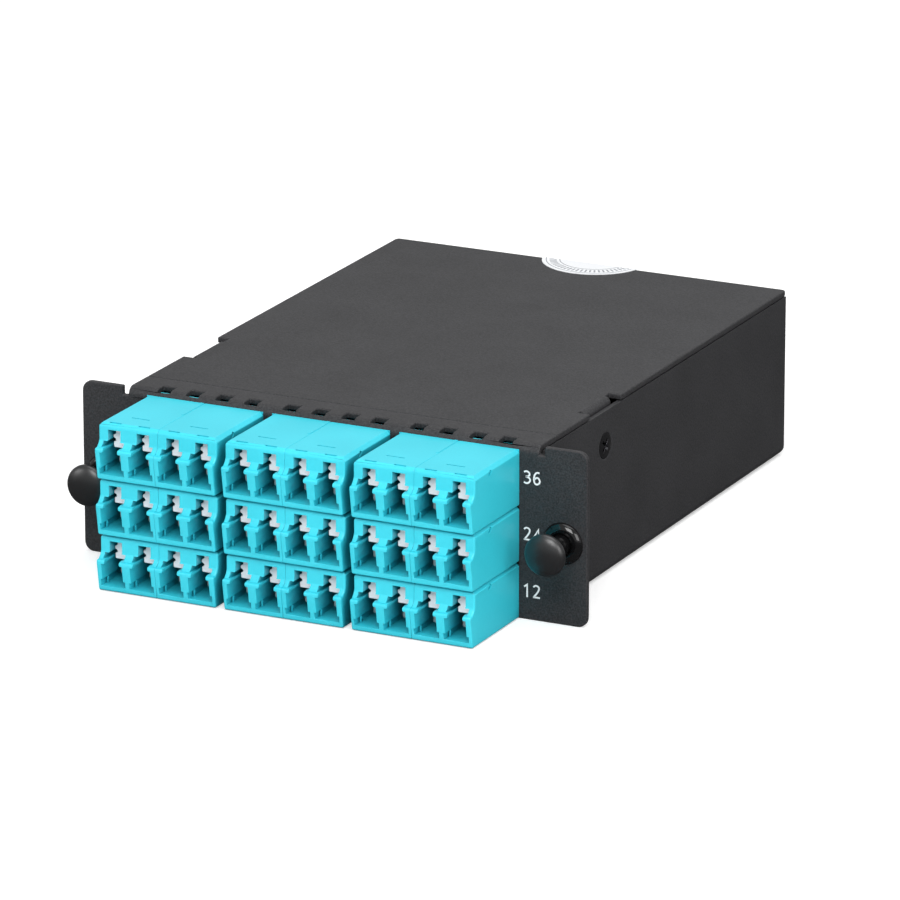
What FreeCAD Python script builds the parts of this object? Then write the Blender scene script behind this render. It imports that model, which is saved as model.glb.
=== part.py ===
# Fibre cassette: a sheet-steel box behind a front panel with two ears. Nine four-port adapters
# stand out of the panel, and their fibres fan in to three multi-fibre adapters in the rear wall.
# Millimetres. X runs to the right seen from the front, Y to the rear, Z up. The work is drawn with
# the panel's front face at Y 0 and its lower edge at Z 0, and moved to the row's origin when saved.
import FreeCAD, Part

import math
import os

Vector = FreeCAD.Vector

# Sheet metal, and how far a cut runs past the wall it goes through
SHEET = 1.2
BEND_INNER_R = 0.6
PANEL_W = 108.97
PANEL_H = 35.05
EAR_W = 10.185
EAR_CORNER_R = 2.0
BOX_DEPTH = 117.9
TOP_FLANGE_DEPTH = 8.0
SEAM = 0.05
EAR_RELIEF_W = 1.2
CUT_PAST = 1.0
WALL_GAP = 0.15
WALL_RETURN = 2.5
REAR_LEDGE_DEPTH = 8.0
REAR_LEDGE_END_GAP = 2.1
COVER_CORNER_R = 1.0

# Windows in the panel's top flange, one over each port, from part way up the bend to a depth behind it
WINDOW_W = 2.8
WINDOW_DEPTH = 3.6
WINDOW_SILL_ANGLE = 50.0

# Tab bent down from each side of the cover, and the screw that holds it
NOTCH_FRONT_Y = 23.0
NOTCH_REAR_Y = 37.4
TAB_FRONT_Y = 24.0
TAB_REAR_Y = 35.3
TAB_FOOT = 5.0
TAB_CHAMFER = 1.5
TAB_FIT = 0.05
SCREW_Y = 30.1
SCREW_BELOW_TOP = 8.35
SCREW_R = 1.5
SCREW_LENGTH = 5.0
SCREW_FIT = 0.05

# Seal label that wraps over the rear edge of the cover
LABEL_R = 11.0
LABEL_OVERHANG = 2.8
LABEL_THICK = 0.12

# Four-port adapters: their grid on the panel, and the room left round and between them
ROWS = 3
COLUMNS = 3
PORTS_PER_ADAPTER = 4
STACK_BASE = 0.1
STACK_TOP_ROOM = 1.15
STACK_SIDE_ROOM = 4.2
ROW_GAP = 0.1
COLUMN_GAP = 2.0

# The adapter's moulding, with its own Z counted from its underside
ADAPTER_REACH = 21.4
NOSE_LEAN = 0.9
NOSE_LEAN_H = 5.6
NOSE_H = 6.5
STRIP_SETBACK = 1.9
STRIP_H = 7.9
TOP_EDGE = 0.7
NOSE_CORNER = 0.5
STEP_EASE = 0.45
SEAM_GROOVE_W = 0.24
SEAM_GROOVE_DEPTH = 0.35
NECK_STEP = 0.3
NECK_FLOOR = 1.15
NECK_DROP = 1.05
NECK_LENGTH = 8.0
CAVITY_WALL = 0.6
CAVITY_FLOOR = 0.4
CAVITY_ROOF = 0.65
CUTOUT_FIT = 0.1

# A port's opening, from its floor up: foot, plug space, lips, the slot over them and the latch notch
PORT_SIDE_MARGIN = 0.2
PORT_FLOOR = 1.15
FOOT_POST_W = 0.55
PORT_FOOT_TOP = 2.4
PORT_POST_W = 1.75
PORT_TOP = 5.65
LIP_REACH = 0.65
NOTCH_STEP = 0.25
NOTCH_FOOT = 7.6
NOTCH_ROOF = 1.35
PORT_DEPTH = 8.7

# White sleeve holder, with its sleeves in one piece with it, and the plugs behind it
HOLDER_PLATE = 1.5
HOLDER_FIT = 0.05
TONGUE_FIT = 0.15
TONGUE_REACH = 4.9
TONGUE_RISE = 0.1
SOCKET_SIDE = 2.4
SOCKET_REACH = 2.65
FERRULE_R = 0.625
FERRULE_FIT = 0.03
PLUG_FIT = 0.15
PLUG_H = 4.1
PLUG_LENGTH = 13.9
FERRULE_SHOW = 4.85
BOOT_LENGTH = 10.0
BOOT_SIDE = 3.2
BOOT_TIP_SIDE = 1.6
FERRULE_SIDES = 6

# Side springs and snaps that hold the adapters' necks behind the panel
CLIP_SHEET = 0.4
CLIP_DEPTH = 5.0
CLIP_H = 7.0
CLIP_RIB = 0.8
CLIP_RIB_H = 3.2
SNAP_FIT = 0.15
SNAP_SIDE_ROOM = 0.4
SNAP_RISE = 2.0
SNAP_TOP_DEPTH = 0.4
SNAP_DEPTH = 1.9

# Push-pull latches in the middle of the ears
LATCH_Z = 16.4
BARREL_R = 3.2
BARREL_LENGTH = 3.2
BARREL_HOLE_FIT = 0.05
BARREL_STEP = 0.25
GROMMET_FLANGE_R = 4.2
GROMMET_FACE_R = 3.3
GROMMET_FLANGE_H = 1.2
GROMMET_LIP = 0.4
LEG_SLOT_W = 0.7
LEG_SLOT_TURN = 45.0
LEG_ROOT = 1.2
PLUNGER_R = 2.1
PLUNGER_FIT = 0.05
COLLAR_RISE = 0.3
COLLAR_LENGTH = 1.0
PLUNGER_TIP = 0.75
TRAVEL = 6.0
TRAVEL_SPARE = 0.2
HEAD_R = 4.2
HEAD_RIM = 1.2
HEAD_DOME = 1.2
DOME_STEPS = 2

# Multi-fibre adapters in the rear wall, and the plugs in them
MULTI_PITCH = 24.0
MULTI_Z = 11.0
MULTI_W = 14.6
MULTI_H = 9.8
MULTI_LENGTH = 20.0
MULTI_PROUD = 8.0
MULTI_FLANGE = 1.0
MULTI_FLANGE_THICK = 1.5
MULTI_MOUTH_W = 12.5
MULTI_MOUTH_H = 7.9
MULTI_MOUTH_DEPTH = 9.0
MULTI_KEY_W = 3.2
MULTI_KEY_H = 0.5
FERRULE_WINDOW_W = 7.0
FERRULE_WINDOW_H = 3.2
MULTI_PLUG_LENGTH = 15.8
MULTI_PLUG_FIT = 0.05
MULTI_BOOT_LENGTH = 8.0
MULTI_BOOT_SIDE = 6.0
MULTI_BOOT_TIP_SIDE = 3.4

# Fibres: from each row of plugs to a breakout block, and on in one lead
FIBRE_R = 0.4
FIBRE_RUNS = 3
FIBRE_SIDES = 4
BLOCK_FIBRE_PITCH = 1.3
BLOCK_Y = 50.0
BLOCK_LENGTH = 9.0
BLOCK_H = 4.5
BLOCK_EDGE = 0.9
LEAD_R = 1.5
LEAD_RUNS = 5
LEAD_SIDES = 8

# Worked out from the sizes above
BEND_R = BEND_INNER_R + SHEET
BOX_HALF = PANEL_W / 2 - EAR_W
LATCH_X = BOX_HALF + EAR_W / 2
COVER_UNDER = PANEL_H - SHEET
WALL_TOP = COVER_UNDER - WALL_GAP
WALL_INNER = BOX_HALF - SHEET
SCREW_Z = PANEL_H - SCREW_BELOW_TOP
COLUMN_PITCH = (2 * (BOX_HALF - STACK_SIDE_ROOM) + COLUMN_GAP) / COLUMNS
ROW_PITCH = (PANEL_H - STACK_BASE - STACK_TOP_ROOM + ROW_GAP) / ROWS
HALF_W = (COLUMN_PITCH - COLUMN_GAP) / 2
ADAPTER_H = ROW_PITCH - ROW_GAP
NECK_W = 2 * (HALF_W - NECK_STEP)
NECK_TOP = ADAPTER_H - NECK_DROP
NECK_MIDDLE = (NECK_FLOOR + NECK_TOP) / 2
PORT_PITCH = (HALF_W - PORT_SIDE_MARGIN) / 2
PORT_FOOT_W = PORT_PITCH - FOOT_POST_W
PORT_W = PORT_PITCH - PORT_POST_W
LIP_GAP_W = PORT_W - 2 * LIP_REACH
NOTCH_TOP = ADAPTER_H - NOTCH_ROOF
NOTCH_W = LIP_GAP_W - 2 * NOTCH_STEP
TONGUE_W = NOTCH_W - 2 * TONGUE_FIT
PLUG_W = PORT_W - 2 * PLUG_FIT
SNAP_W = WINDOW_W - 2 * SNAP_SIDE_ROOM
STRIP_Y = STRIP_SETBACK - ADAPTER_REACH
PORT_END_Y = PORT_DEPTH - ADAPTER_REACH
CAVITY_HALF = NECK_W / 2 - CAVITY_WALL
CAVITY_Z = (NECK_FLOOR + CAVITY_FLOOR, NECK_TOP - CAVITY_ROOF)
PORT_Z = (PORT_FLOOR + PORT_TOP) / 2
PLUG_Z = CAVITY_Z[0] + HOLDER_FIT + PLUG_H / 2
TONGUE_Z = PORT_TOP + TONGUE_RISE
CONTACT_Y = PORT_END_Y + HOLDER_PLATE / 2
PLUG_Y = CONTACT_Y + FERRULE_SHOW
BOOT_Y = PLUG_Y + PLUG_LENGTH
FIBRE_Y = BOOT_Y + BOOT_LENGTH
PORT_X = [side * HALF_W / 2 + step * PORT_PITCH / 2 for side in (-1, 1) for step in (-1, 1)]
HEAD_BACK_Y = -GROMMET_FLANGE_H - TRAVEL - TRAVEL_SPARE
MULTI_REAR_Y = BOX_DEPTH + MULTI_PROUD
MULTI_FRONT_Y = MULTI_REAR_Y - MULTI_LENGTH
MULTI_PLUG_Y = MULTI_FRONT_Y + MULTI_MOUTH_DEPTH - MULTI_PLUG_LENGTH - MULTI_PLUG_FIT
LEAD_END_Y = MULTI_PLUG_Y - MULTI_BOOT_LENGTH
ORIGIN = Vector(0, (MULTI_REAR_Y - ADAPTER_REACH) / 2, 0)


# Basic forms

def block(x, y, z):
    """A block, from its low and high limit along each axis."""
    return Part.makeBox(x[1] - x[0], y[1] - y[0], z[1] - z[0], Vector(x[0], y[0], z[0]))


def around(centre, width):
    """The low and high limit of a width centred on a place."""
    return (centre - width / 2, centre + width / 2)


def outline(steps):
    """A closed face from corners; a step (middle, end) in place of a corner is an arc."""
    edges = []
    here = steps[0]
    for step in steps[1:] + steps[:1]:
        if isinstance(step, tuple):
            edges.append(Part.Arc(here, step[0], step[1]).toShape())
            here = step[1]
        else:
            edges.append(Part.LineSegment(here, step).toShape())
            here = step
    return Part.Face(Part.Wire(edges))


def slab_x(steps, x):
    """An outline of (y, z) places, drawn out along X."""
    return outline([spread(step, lambda p: Vector(x[0], p[0], p[1])) for step in steps]).extrude(
        Vector(x[1] - x[0], 0, 0))


def slab_y(steps, y):
    """An outline of (x, z) places, drawn out along Y."""
    return outline([spread(step, lambda p: Vector(p[0], y[0], p[1])) for step in steps]).extrude(
        Vector(0, y[1] - y[0], 0))


def slab_z(steps, z):
    """An outline of (x, y) places, drawn out along Z."""
    return outline([spread(step, lambda p: Vector(p[0], p[1], z[0])) for step in steps]).extrude(
        Vector(0, 0, z[1] - z[0]))


def spread(step, to_space):
    """A flat step made a step in space: a place, or an arc's middle and end."""
    if isinstance(step[0], tuple):
        return tuple(to_space(place) for place in step)
    return to_space(step)


def corner_arc(centre, radius, start, end):
    """The middle and end of an arc round a centre, from one angle in degrees to another."""
    places = []
    for angle in ((start + end) / 2, end):
        places.append((centre[0] + radius * math.cos(math.radians(angle)),
                       centre[1] + radius * math.sin(math.radians(angle))))
    return tuple(places)


def turned(steps):
    """A solid of revolution about the Y axis, from (radius, y) steps."""
    face = outline([spread(step, lambda p: Vector(p[0], p[1], 0)) for step in steps])
    return face.revolve(Vector(0, 0, 0), Vector(0, 1, 0), 360)


def regular_bar(radius, y, sides):
    """A straight bar of many flat sides along Y, for the tiny round pieces."""
    places = [(radius * math.cos(math.tau * (i + 0.5) / sides), radius * math.sin(math.tau * (i + 0.5) / sides))
              for i in range(sides)]
    return slab_y(places, y)


def strand(route, radius, sides):
    """A fibre or lead: a many-sided bar, mitred at each point of its route and cut square to Y at its ends."""
    runs = [(end - start).normalize() for start, end in zip(route, route[1:])]
    ends = [Vector(0, 1, 0)]
    mitres = ends + [before + after for before, after in zip(runs, runs[1:])] + ends
    across = runs[0].cross(Vector(0, 0, 1)).normalize()
    above = across.cross(runs[0])
    ring = [route[0] + across * (radius * math.cos(math.tau * i / sides))
            + above * (radius * math.sin(math.tau * i / sides)) for i in range(sides)]
    rings = []
    for place, mitre, run in zip(route, mitres, runs[:1] + runs):
        ring = [corner + run * ((place - corner).dot(mitre) / run.dot(mitre)) for corner in ring]
        rings.append(ring)
    faces = [outline(list(rings[0])), outline(list(rings[-1]))]
    for near, far in zip(rings, rings[1:]):
        for i in range(sides):
            j = (i + 1) % sides
            faces.append(outline([near[i], near[j], far[j], far[i]]))
    solid = Part.Solid(Part.Shell(faces))
    if solid.Volume < 0:
        solid.reverse()
    return solid


def taper(y, start, end):
    """A square bar along Y whose side goes from one size to another."""
    return Part.makeWedge(-start / 2, y[0], -start / 2, -end / 2, -end / 2,
                          start / 2, y[1], start / 2, end / 2, end / 2)


def moved(shape, x=0, y=0, z=0):
    """A copy of a shape, set somewhere else."""
    copy = shape.copy()
    copy.translate(Vector(x, y, z))
    return copy


def mirrored(shape):
    """A shape's twin on the other side of the middle plane."""
    return shape.mirror(Vector(0, 0, 0), Vector(1, 0, 0))


def both_sides(shape):
    """A shape and its twin."""
    return [shape, mirrored(shape)]


# Sheet metal parts

def folded_box(half, bottom, radius, front, rear, top):
    """A box with round lower edges at its sides and rear, open nowhere."""
    section = [(-half, top), (-half, bottom + radius),
               corner_arc((-half + radius, bottom + radius), radius, 180, 270),
               (half - radius, bottom), corner_arc((half - radius, bottom + radius), radius, 270, 360),
               (half, top)]
    length = [(front, top), (front, bottom), (rear - radius, bottom),
              corner_arc((rear - radius, bottom + radius), radius, 270, 360), (rear, top)]
    return slab_y(section, (front, rear)).common(slab_x(length, (-half, half)))


def screw_cone(x_face, radius_extra):
    """The cone under a countersunk head whose flat face lies in the wall's outer face."""
    return Part.makeCone(SCREW_R + SHEET + radius_extra, SCREW_R + radius_extra, SHEET,
                         Vector(x_face, SCREW_Y, SCREW_Z), Vector(-1, 0, 0))


def base_tray():
    """Floor, side walls and rear wall, folded from one sheet."""
    tray = folded_box(BOX_HALF, 0, BEND_R, SHEET, BOX_DEPTH, WALL_TOP)
    tray = tray.cut(folded_box(WALL_INNER, SHEET, BEND_INNER_R, 0, BOX_DEPTH - SHEET, PANEL_H))
    front_return = block((WALL_INNER - WALL_RETURN, BOX_HALF - SHEET / 2), (SHEET, 2 * SHEET),
                         (BEND_R, WALL_TOP - BEND_R))
    ledge_half = WALL_INNER - REAR_LEDGE_END_GAP
    ledge = block((-ledge_half, ledge_half), (BOX_DEPTH - REAR_LEDGE_DEPTH, BOX_DEPTH),
                  (COVER_UNDER - SHEET, COVER_UNDER))
    tray = tray.fuse(both_sides(front_return) + [ledge])
    for x in multi_places():
        tray = tray.cut(block(around(x, MULTI_W + 2 * CUTOUT_FIT), (BOX_DEPTH - 2 * SHEET, BOX_DEPTH + SHEET),
                              around(MULTI_Z, MULTI_H + 2 * CUTOUT_FIT)))
    corner = block((-BOX_HALF, BOX_HALF), (0, BEND_R + SEAM), (PANEL_H - BEND_R - SEAM, PANEL_H))
    tray = tray.cut(both_sides(screw_cone(BOX_HALF, SCREW_FIT)) + [corner])
    return tray.removeSplitter()


def front_panel():
    """Face plate with two ears and the top flange that is bent back from it."""
    half = PANEL_W / 2
    r = EAR_CORNER_R
    plate = slab_y([(half - r, 0), corner_arc((half - r, r), r, 270, 360),
                    (half, PANEL_H - r), corner_arc((half - r, PANEL_H - r), r, 0, 90),
                    (r - half, PANEL_H), corner_arc((r - half, PANEL_H - r), r, 90, 180),
                    (-half, r), corner_arc((r - half, r), r, 180, 270)], (0, SHEET))
    relief_half = BOX_HALF + EAR_RELIEF_W
    plate = plate.cut(block((-relief_half, relief_half), (-SHEET, 2 * SHEET), (PANEL_H - BEND_R, 2 * PANEL_H)))
    bend = (BEND_R, PANEL_H - BEND_R)
    flange = slab_x([(0, PANEL_H - BEND_R), corner_arc(bend, BEND_R, 180, 90),
                     (TOP_FLANGE_DEPTH, PANEL_H), (TOP_FLANGE_DEPTH, COVER_UNDER), (BEND_R, COVER_UNDER),
                     corner_arc(bend, BEND_INNER_R, 90, 180)], (-BOX_HALF, BOX_HALF))
    panel = plate.fuse(flange)
    cuts = []
    for x, z in adapter_places():
        cuts.append(block(around(x, NECK_W + 2 * CUTOUT_FIT), (-SHEET, 2 * SHEET),
                          (z + NECK_FLOOR - CUTOUT_FIT, z + NECK_TOP + CUTOUT_FIT)))
    sill = math.radians(WINDOW_SILL_ANGLE)
    sill_out = (bend[0] - 2 * BEND_R * math.cos(sill), bend[1] + 2 * BEND_R * math.sin(sill))
    window = [bend, sill_out, (sill_out[0], 2 * PANEL_H), (WINDOW_DEPTH, 2 * PANEL_H), (WINDOW_DEPTH, bend[1])]
    for x in column_places():
        for port in PORT_X:
            cuts.append(slab_x(window, around(x + port, WINDOW_W)))
    for side in (-1, 1):
        cuts.append(Part.makeCylinder(BARREL_R + BARREL_HOLE_FIT, 3 * SHEET,
                                      Vector(side * LATCH_X, -SHEET, LATCH_Z), Vector(0, 1, 0)))
    return panel.cut(cuts).removeSplitter()


def top_cover():
    """Flat cover with a screw tab bent down from each side."""
    front = TOP_FLANGE_DEPTH + SEAM
    r = COVER_CORNER_R
    rear = BOX_DEPTH
    sheet = slab_z([(-BOX_HALF, front), (BOX_HALF, front), (BOX_HALF, rear - r),
                    corner_arc((BOX_HALF - r, rear - r), r, 0, 90), (r - BOX_HALF, rear),
                    corner_arc((r - BOX_HALF, rear - r), r, 90, 180)], (COVER_UNDER, PANEL_H))
    outer = WALL_INNER - TAB_FIT
    bend_r = SHEET + 2 * TAB_FIT
    inner_r = bend_r - SHEET
    centre = (outer - bend_r, PANEL_H - bend_r)
    foot = SCREW_Z - TAB_FOOT
    notch = block((centre[0], BOX_HALF + SHEET), (NOTCH_FRONT_Y, NOTCH_REAR_Y), (0, 2 * PANEL_H))
    sheet = sheet.cut(both_sides(notch))
    tab = slab_y([(centre[0] - SHEET, PANEL_H), (centre[0], PANEL_H), corner_arc(centre, bend_r, 90, 0),
                  (outer, foot), (outer - SHEET, foot), (outer - SHEET, centre[1]),
                  corner_arc(centre, inner_r, 0, 90), (centre[0] - SHEET, COVER_UNDER)],
                 (TAB_FRONT_Y, TAB_REAR_Y))
    side = [(TAB_FRONT_Y, 2 * PANEL_H), (TAB_FRONT_Y, foot + TAB_CHAMFER), (TAB_FRONT_Y + TAB_CHAMFER, foot),
            (TAB_REAR_Y - TAB_CHAMFER, foot), (TAB_REAR_Y, foot + TAB_CHAMFER), (TAB_REAR_Y, 2 * PANEL_H)]
    tab = tab.common(slab_x(side, (0, BOX_HALF)))
    tab = tab.cut(Part.makeCylinder(SCREW_R + SCREW_FIT, 3 * SHEET, Vector(BOX_HALF, SCREW_Y, SCREW_Z),
                                    Vector(-1, 0, 0)))
    return sheet.fuse(both_sides(tab)).removeSplitter()


def cover_screws():
    """Two countersunk screws that go through the side walls into the cover's tabs."""
    shank = Part.makeCylinder(SCREW_R, SCREW_LENGTH - SHEET, Vector(BOX_HALF - SHEET, SCREW_Y, SCREW_Z),
                              Vector(-1, 0, 0))
    return both_sides(screw_cone(BOX_HALF, 0).fuse(shank).removeSplitter())


def seal_label():
    """Round paper seal, one part on the cover and the other down the rear wall."""
    top = Part.makeCylinder(LABEL_R, LABEL_THICK, Vector(0, BOX_DEPTH + LABEL_OVERHANG, PANEL_H))
    top = top.common(block((-LABEL_R, LABEL_R), (0, BOX_DEPTH), (PANEL_H, PANEL_H + LABEL_THICK)))
    rear = Part.makeCylinder(LABEL_R, LABEL_THICK, Vector(0, BOX_DEPTH, PANEL_H - LABEL_OVERHANG), Vector(0, 1, 0))
    rear = rear.common(block((-LABEL_R, LABEL_R), (0, 2 * BOX_DEPTH), (0, PANEL_H)))
    edge_half = math.sqrt(LABEL_R ** 2 - LABEL_OVERHANG ** 2)
    edge = block((-edge_half, edge_half), (BOX_DEPTH, BOX_DEPTH + LABEL_THICK), (PANEL_H, PANEL_H + LABEL_THICK))
    return top.fuse([rear, edge]).removeSplitter()


# Four-port adapters

def column_places():
    """The middle of each column of adapters."""
    return [(column - (COLUMNS - 1) / 2) * COLUMN_PITCH for column in range(COLUMNS)]


def adapter_places():
    """The middle and underside of each adapter, from the lower left one on."""
    return [(x, STACK_BASE + row * ROW_PITCH) for row in range(ROWS) for x in column_places()]


def port_opening(x, y):
    """The space that a port leaves: foot, plug space, gap between the lips, slot over them and notch."""
    section = []
    for half, top in ((PORT_FOOT_W / 2, PORT_FOOT_TOP), (PORT_W / 2, PORT_TOP), (LIP_GAP_W / 2, NOSE_H),
                      (PORT_W / 2, NOTCH_FOOT), (NOTCH_W / 2, NOTCH_TOP)):
        bottom = section[-1][1] if section else PORT_FLOOR
        section += [(half, bottom), (half, top)]
    mirror = [(-half, z) for half, z in reversed(section)]
    return moved(slab_y(section + mirror, y), x)


def adapter_housing():
    """Moulded housing of two joined halves: ports in front, a neck through the panel behind."""
    nose = -ADAPTER_REACH
    side = [(0, 0), (nose + NOSE_LEAN, 0), (nose, NOSE_LEAN_H), (nose, NOSE_H), (nose + STEP_EASE, NOSE_H + STEP_EASE),
            (STRIP_Y - STEP_EASE, STRIP_H - STEP_EASE), (STRIP_Y, STRIP_H), (STRIP_Y, ADAPTER_H - TOP_EDGE),
            (STRIP_Y + TOP_EDGE, ADAPTER_H), (0, ADAPTER_H)]
    cut = NOSE_CORNER
    plan = [(HALF_W, 0), (HALF_W, nose + cut), (HALF_W - cut, nose), (cut - HALF_W, nose),
            (-HALF_W, nose + cut), (-HALF_W, 0)]
    body = slab_x(side, (-HALF_W, HALF_W)).common(slab_z(plan, (0, ADAPTER_H)))
    core = moved(slab_x(side, (-SEAM_GROOVE_W, SEAM_GROOVE_W)), y=SEAM_GROOVE_DEPTH, z=-SEAM_GROOVE_DEPTH)
    groove = slab_x(side, around(0, SEAM_GROOVE_W)).cut(core)
    body = body.cut(groove.common(block((-HALF_W, HALF_W), (nose, 0), (0, ADAPTER_H))))
    neck = block(around(0, NECK_W), (-CAVITY_WALL, NECK_LENGTH), (NECK_FLOOR, NECK_TOP))
    body = body.fuse(neck)
    body = body.cut([port_opening(x, (nose - CUT_PAST, PORT_END_Y)) for x in PORT_X])
    body = body.cut(block((-CAVITY_HALF, CAVITY_HALF), (PORT_END_Y, NECK_LENGTH + CUT_PAST), CAVITY_Z))
    rib_y = (SHEET + CLIP_DEPTH, SHEET + CLIP_DEPTH + CLIP_RIB)
    rib = block((NECK_W / 2 - CAVITY_WALL / 2, NECK_W / 2 + CLIP_SHEET), rib_y, around(NECK_MIDDLE, CLIP_RIB_H))
    snap_y = SHEET + SNAP_FIT
    ramp = [(snap_y, NECK_TOP - CAVITY_ROOF / 2), (snap_y, NECK_TOP + SNAP_RISE),
            (snap_y + SNAP_TOP_DEPTH, NECK_TOP + SNAP_RISE), (snap_y + SNAP_DEPTH, NECK_TOP - CAVITY_ROOF / 2)]
    snaps = [slab_x(ramp, around(x, SNAP_W)) for x in PORT_X]
    return body.fuse(both_sides(rib) + snaps).removeSplitter()


def sleeve_holder():
    """White plate with a sleeve for each pair of ferrules and a tongue over each port."""
    plate_z = (CAVITY_Z[0] + HOLDER_FIT, CAVITY_Z[1] - HOLDER_FIT)
    half = CAVITY_HALF - HOLDER_FIT
    plate = block((-half, half), (PORT_END_Y, PORT_END_Y + HOLDER_PLATE), plate_z)
    pieces = []
    bores = []
    socket_y = (PORT_END_Y - SOCKET_REACH, PORT_END_Y)
    bore_y = (PORT_END_Y - SOCKET_REACH, PORT_END_Y + HOLDER_PLATE)
    for x in PORT_X:
        pieces.append(block(around(x, TONGUE_W), (PORT_END_Y - TONGUE_REACH, PORT_END_Y),
                            (TONGUE_Z, plate_z[1])))
        pieces.append(block(around(x, SOCKET_SIDE), socket_y, around(PORT_Z, SOCKET_SIDE)))
        bores.append(moved(regular_bar(FERRULE_R + FERRULE_FIT, bore_y, FERRULE_SIDES), x, 0, PORT_Z))
    return plate.fuse(pieces).cut(bores).removeSplitter()


def inner_plugs():
    """Four plugs in the housing's neck, each with its ferrule and boot."""
    plug = block(around(0, PLUG_W), (PLUG_Y, BOOT_Y), around(PLUG_Z - PORT_Z, PLUG_H))
    ferrule = regular_bar(FERRULE_R, (CONTACT_Y, PLUG_Y), FERRULE_SIDES)
    boot = taper((BOOT_Y, FIBRE_Y), BOOT_SIDE, BOOT_TIP_SIDE)
    plug = plug.fuse([ferrule, boot]).removeSplitter()
    return [moved(plug, x, 0, PORT_Z) for x in PORT_X]


def adapter_clips():
    """Spring clips: one at each side of a neck, between the panel and the neck's side rib."""
    inner = NECK_W / 2
    leaf = block((inner, inner + CLIP_SHEET), (SHEET, SHEET + CLIP_DEPTH), around(NECK_MIDDLE, CLIP_H))
    return [moved(clip, x, 0, z) for x, z in adapter_places() for clip in both_sides(leaf)]


# Push-pull latches

def grommet():
    """Moulded grommet: flange in front of the ear, and a slit barrel that snaps in behind it."""
    lip_y = GROMMET_LIP
    bore_r = PLUNGER_R + COLLAR_RISE + PLUNGER_FIT
    end_y = SHEET + BARREL_LENGTH
    snap_y = SHEET + SEAM
    outer_r = BARREL_R + BARREL_STEP
    body = turned([(PLUNGER_R + PLUNGER_FIT, -GROMMET_FLANGE_H), (GROMMET_FACE_R, -GROMMET_FLANGE_H),
                   (GROMMET_FLANGE_R, 0), (BARREL_R, 0), (BARREL_R, snap_y), (outer_r, snap_y),
                   (outer_r, end_y), (bore_r, end_y), (bore_r, lip_y), (PLUNGER_R + PLUNGER_FIT, lip_y)])
    slots = [block(around(0, LEG_SLOT_W), (SHEET + LEG_ROOT, end_y + CUT_PAST), (-GROMMET_FLANGE_R, GROMMET_FLANGE_R)),
             block((-GROMMET_FLANGE_R, GROMMET_FLANGE_R), (SHEET + LEG_ROOT, end_y + CUT_PAST), around(0, LEG_SLOT_W))]
    for slot in slots:
        slot.rotate(Vector(0, 0, 0), Vector(0, 1, 0), LEG_SLOT_TURN)
    return body.cut(slots)


def plunger():
    """Push-pull plunger, pulled out: domed head, shaft and the collar that keeps it in the grommet."""
    collar_y = GROMMET_LIP + PLUNGER_FIT
    collar_end = collar_y + COLLAR_LENGTH
    tip_y = collar_end + PLUNGER_TIP
    rim_y = HEAD_BACK_Y - HEAD_RIM
    dome_r = (HEAD_R ** 2 + HEAD_DOME ** 2) / (2 * HEAD_DOME)
    half_angle = math.asin(HEAD_R / dome_r)
    dome = []
    for step in range(DOME_STEPS + 1):
        angle = half_angle * step / DOME_STEPS
        dome.append((dome_r * math.sin(angle), rim_y - HEAD_DOME + dome_r * (1 - math.cos(angle))))
    return turned(dome + [(HEAD_R, HEAD_BACK_Y), (PLUNGER_R, HEAD_BACK_Y), (PLUNGER_R, collar_y),
                          (PLUNGER_R + COLLAR_RISE, collar_y), (PLUNGER_R + COLLAR_RISE, collar_end),
                          (PLUNGER_R, tip_y), (0, tip_y)])


# Multi-fibre adapters, plugs and leads

def multi_places():
    """The middle of each adapter in the rear wall."""
    return [(index - (ROWS - 1) / 2) * MULTI_PITCH for index in range(ROWS)]


def multi_adapter():
    """Adapter through the rear wall, with a keyed mouth at each end."""
    body = block(around(0, MULTI_W), (MULTI_FRONT_Y, MULTI_REAR_Y), around(0, MULTI_H))
    flange = block(around(0, MULTI_W + 2 * MULTI_FLANGE), (BOX_DEPTH, BOX_DEPTH + MULTI_FLANGE_THICK),
                   around(0, MULTI_H + 2 * MULTI_FLANGE))
    body = body.fuse(flange)
    key_top = MULTI_MOUTH_H / 2 + MULTI_KEY_H
    for y in ((MULTI_REAR_Y - MULTI_MOUTH_DEPTH, MULTI_REAR_Y), (MULTI_FRONT_Y, MULTI_FRONT_Y + MULTI_MOUTH_DEPTH)):
        body = body.cut([block(around(0, MULTI_MOUTH_W), y, around(0, MULTI_MOUTH_H)),
                         block(around(0, MULTI_KEY_W), y, (0, key_top))])
    window = block(around(0, FERRULE_WINDOW_W), (MULTI_FRONT_Y, MULTI_REAR_Y), around(0, FERRULE_WINDOW_H))
    return body.cut(window).removeSplitter()


def multi_plug():
    """Plug with its boot, in the inner mouth of a multi-fibre adapter."""
    width = MULTI_MOUTH_W - 2 * MULTI_PLUG_FIT
    height = MULTI_MOUTH_H - 2 * MULTI_PLUG_FIT
    cut = MULTI_KEY_H * 2
    section = [(-width / 2, -height / 2), (width / 2, -height / 2), (width / 2, height / 2 - cut),
               (width / 2 - cut, height / 2), (cut - width / 2, height / 2), (-width / 2, height / 2 - cut)]
    body = slab_y(section, (MULTI_PLUG_Y, MULTI_PLUG_Y + MULTI_PLUG_LENGTH))
    boot = taper((LEAD_END_Y, MULTI_PLUG_Y), MULTI_BOOT_TIP_SIDE, MULTI_BOOT_SIDE)
    return body.fuse(boot).removeSplitter()


def eased(start, end, runs):
    """A route from one place to another that leaves and arrives along Y."""
    route = []
    for step in range(runs + 1):
        t = step / runs
        share = t * t * (3 - 2 * t)
        route.append(Vector(start.x + (end.x - start.x) * share, start.y + (end.y - start.y) * t,
                            start.z + (end.z - start.z) * share))
    return route


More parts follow.
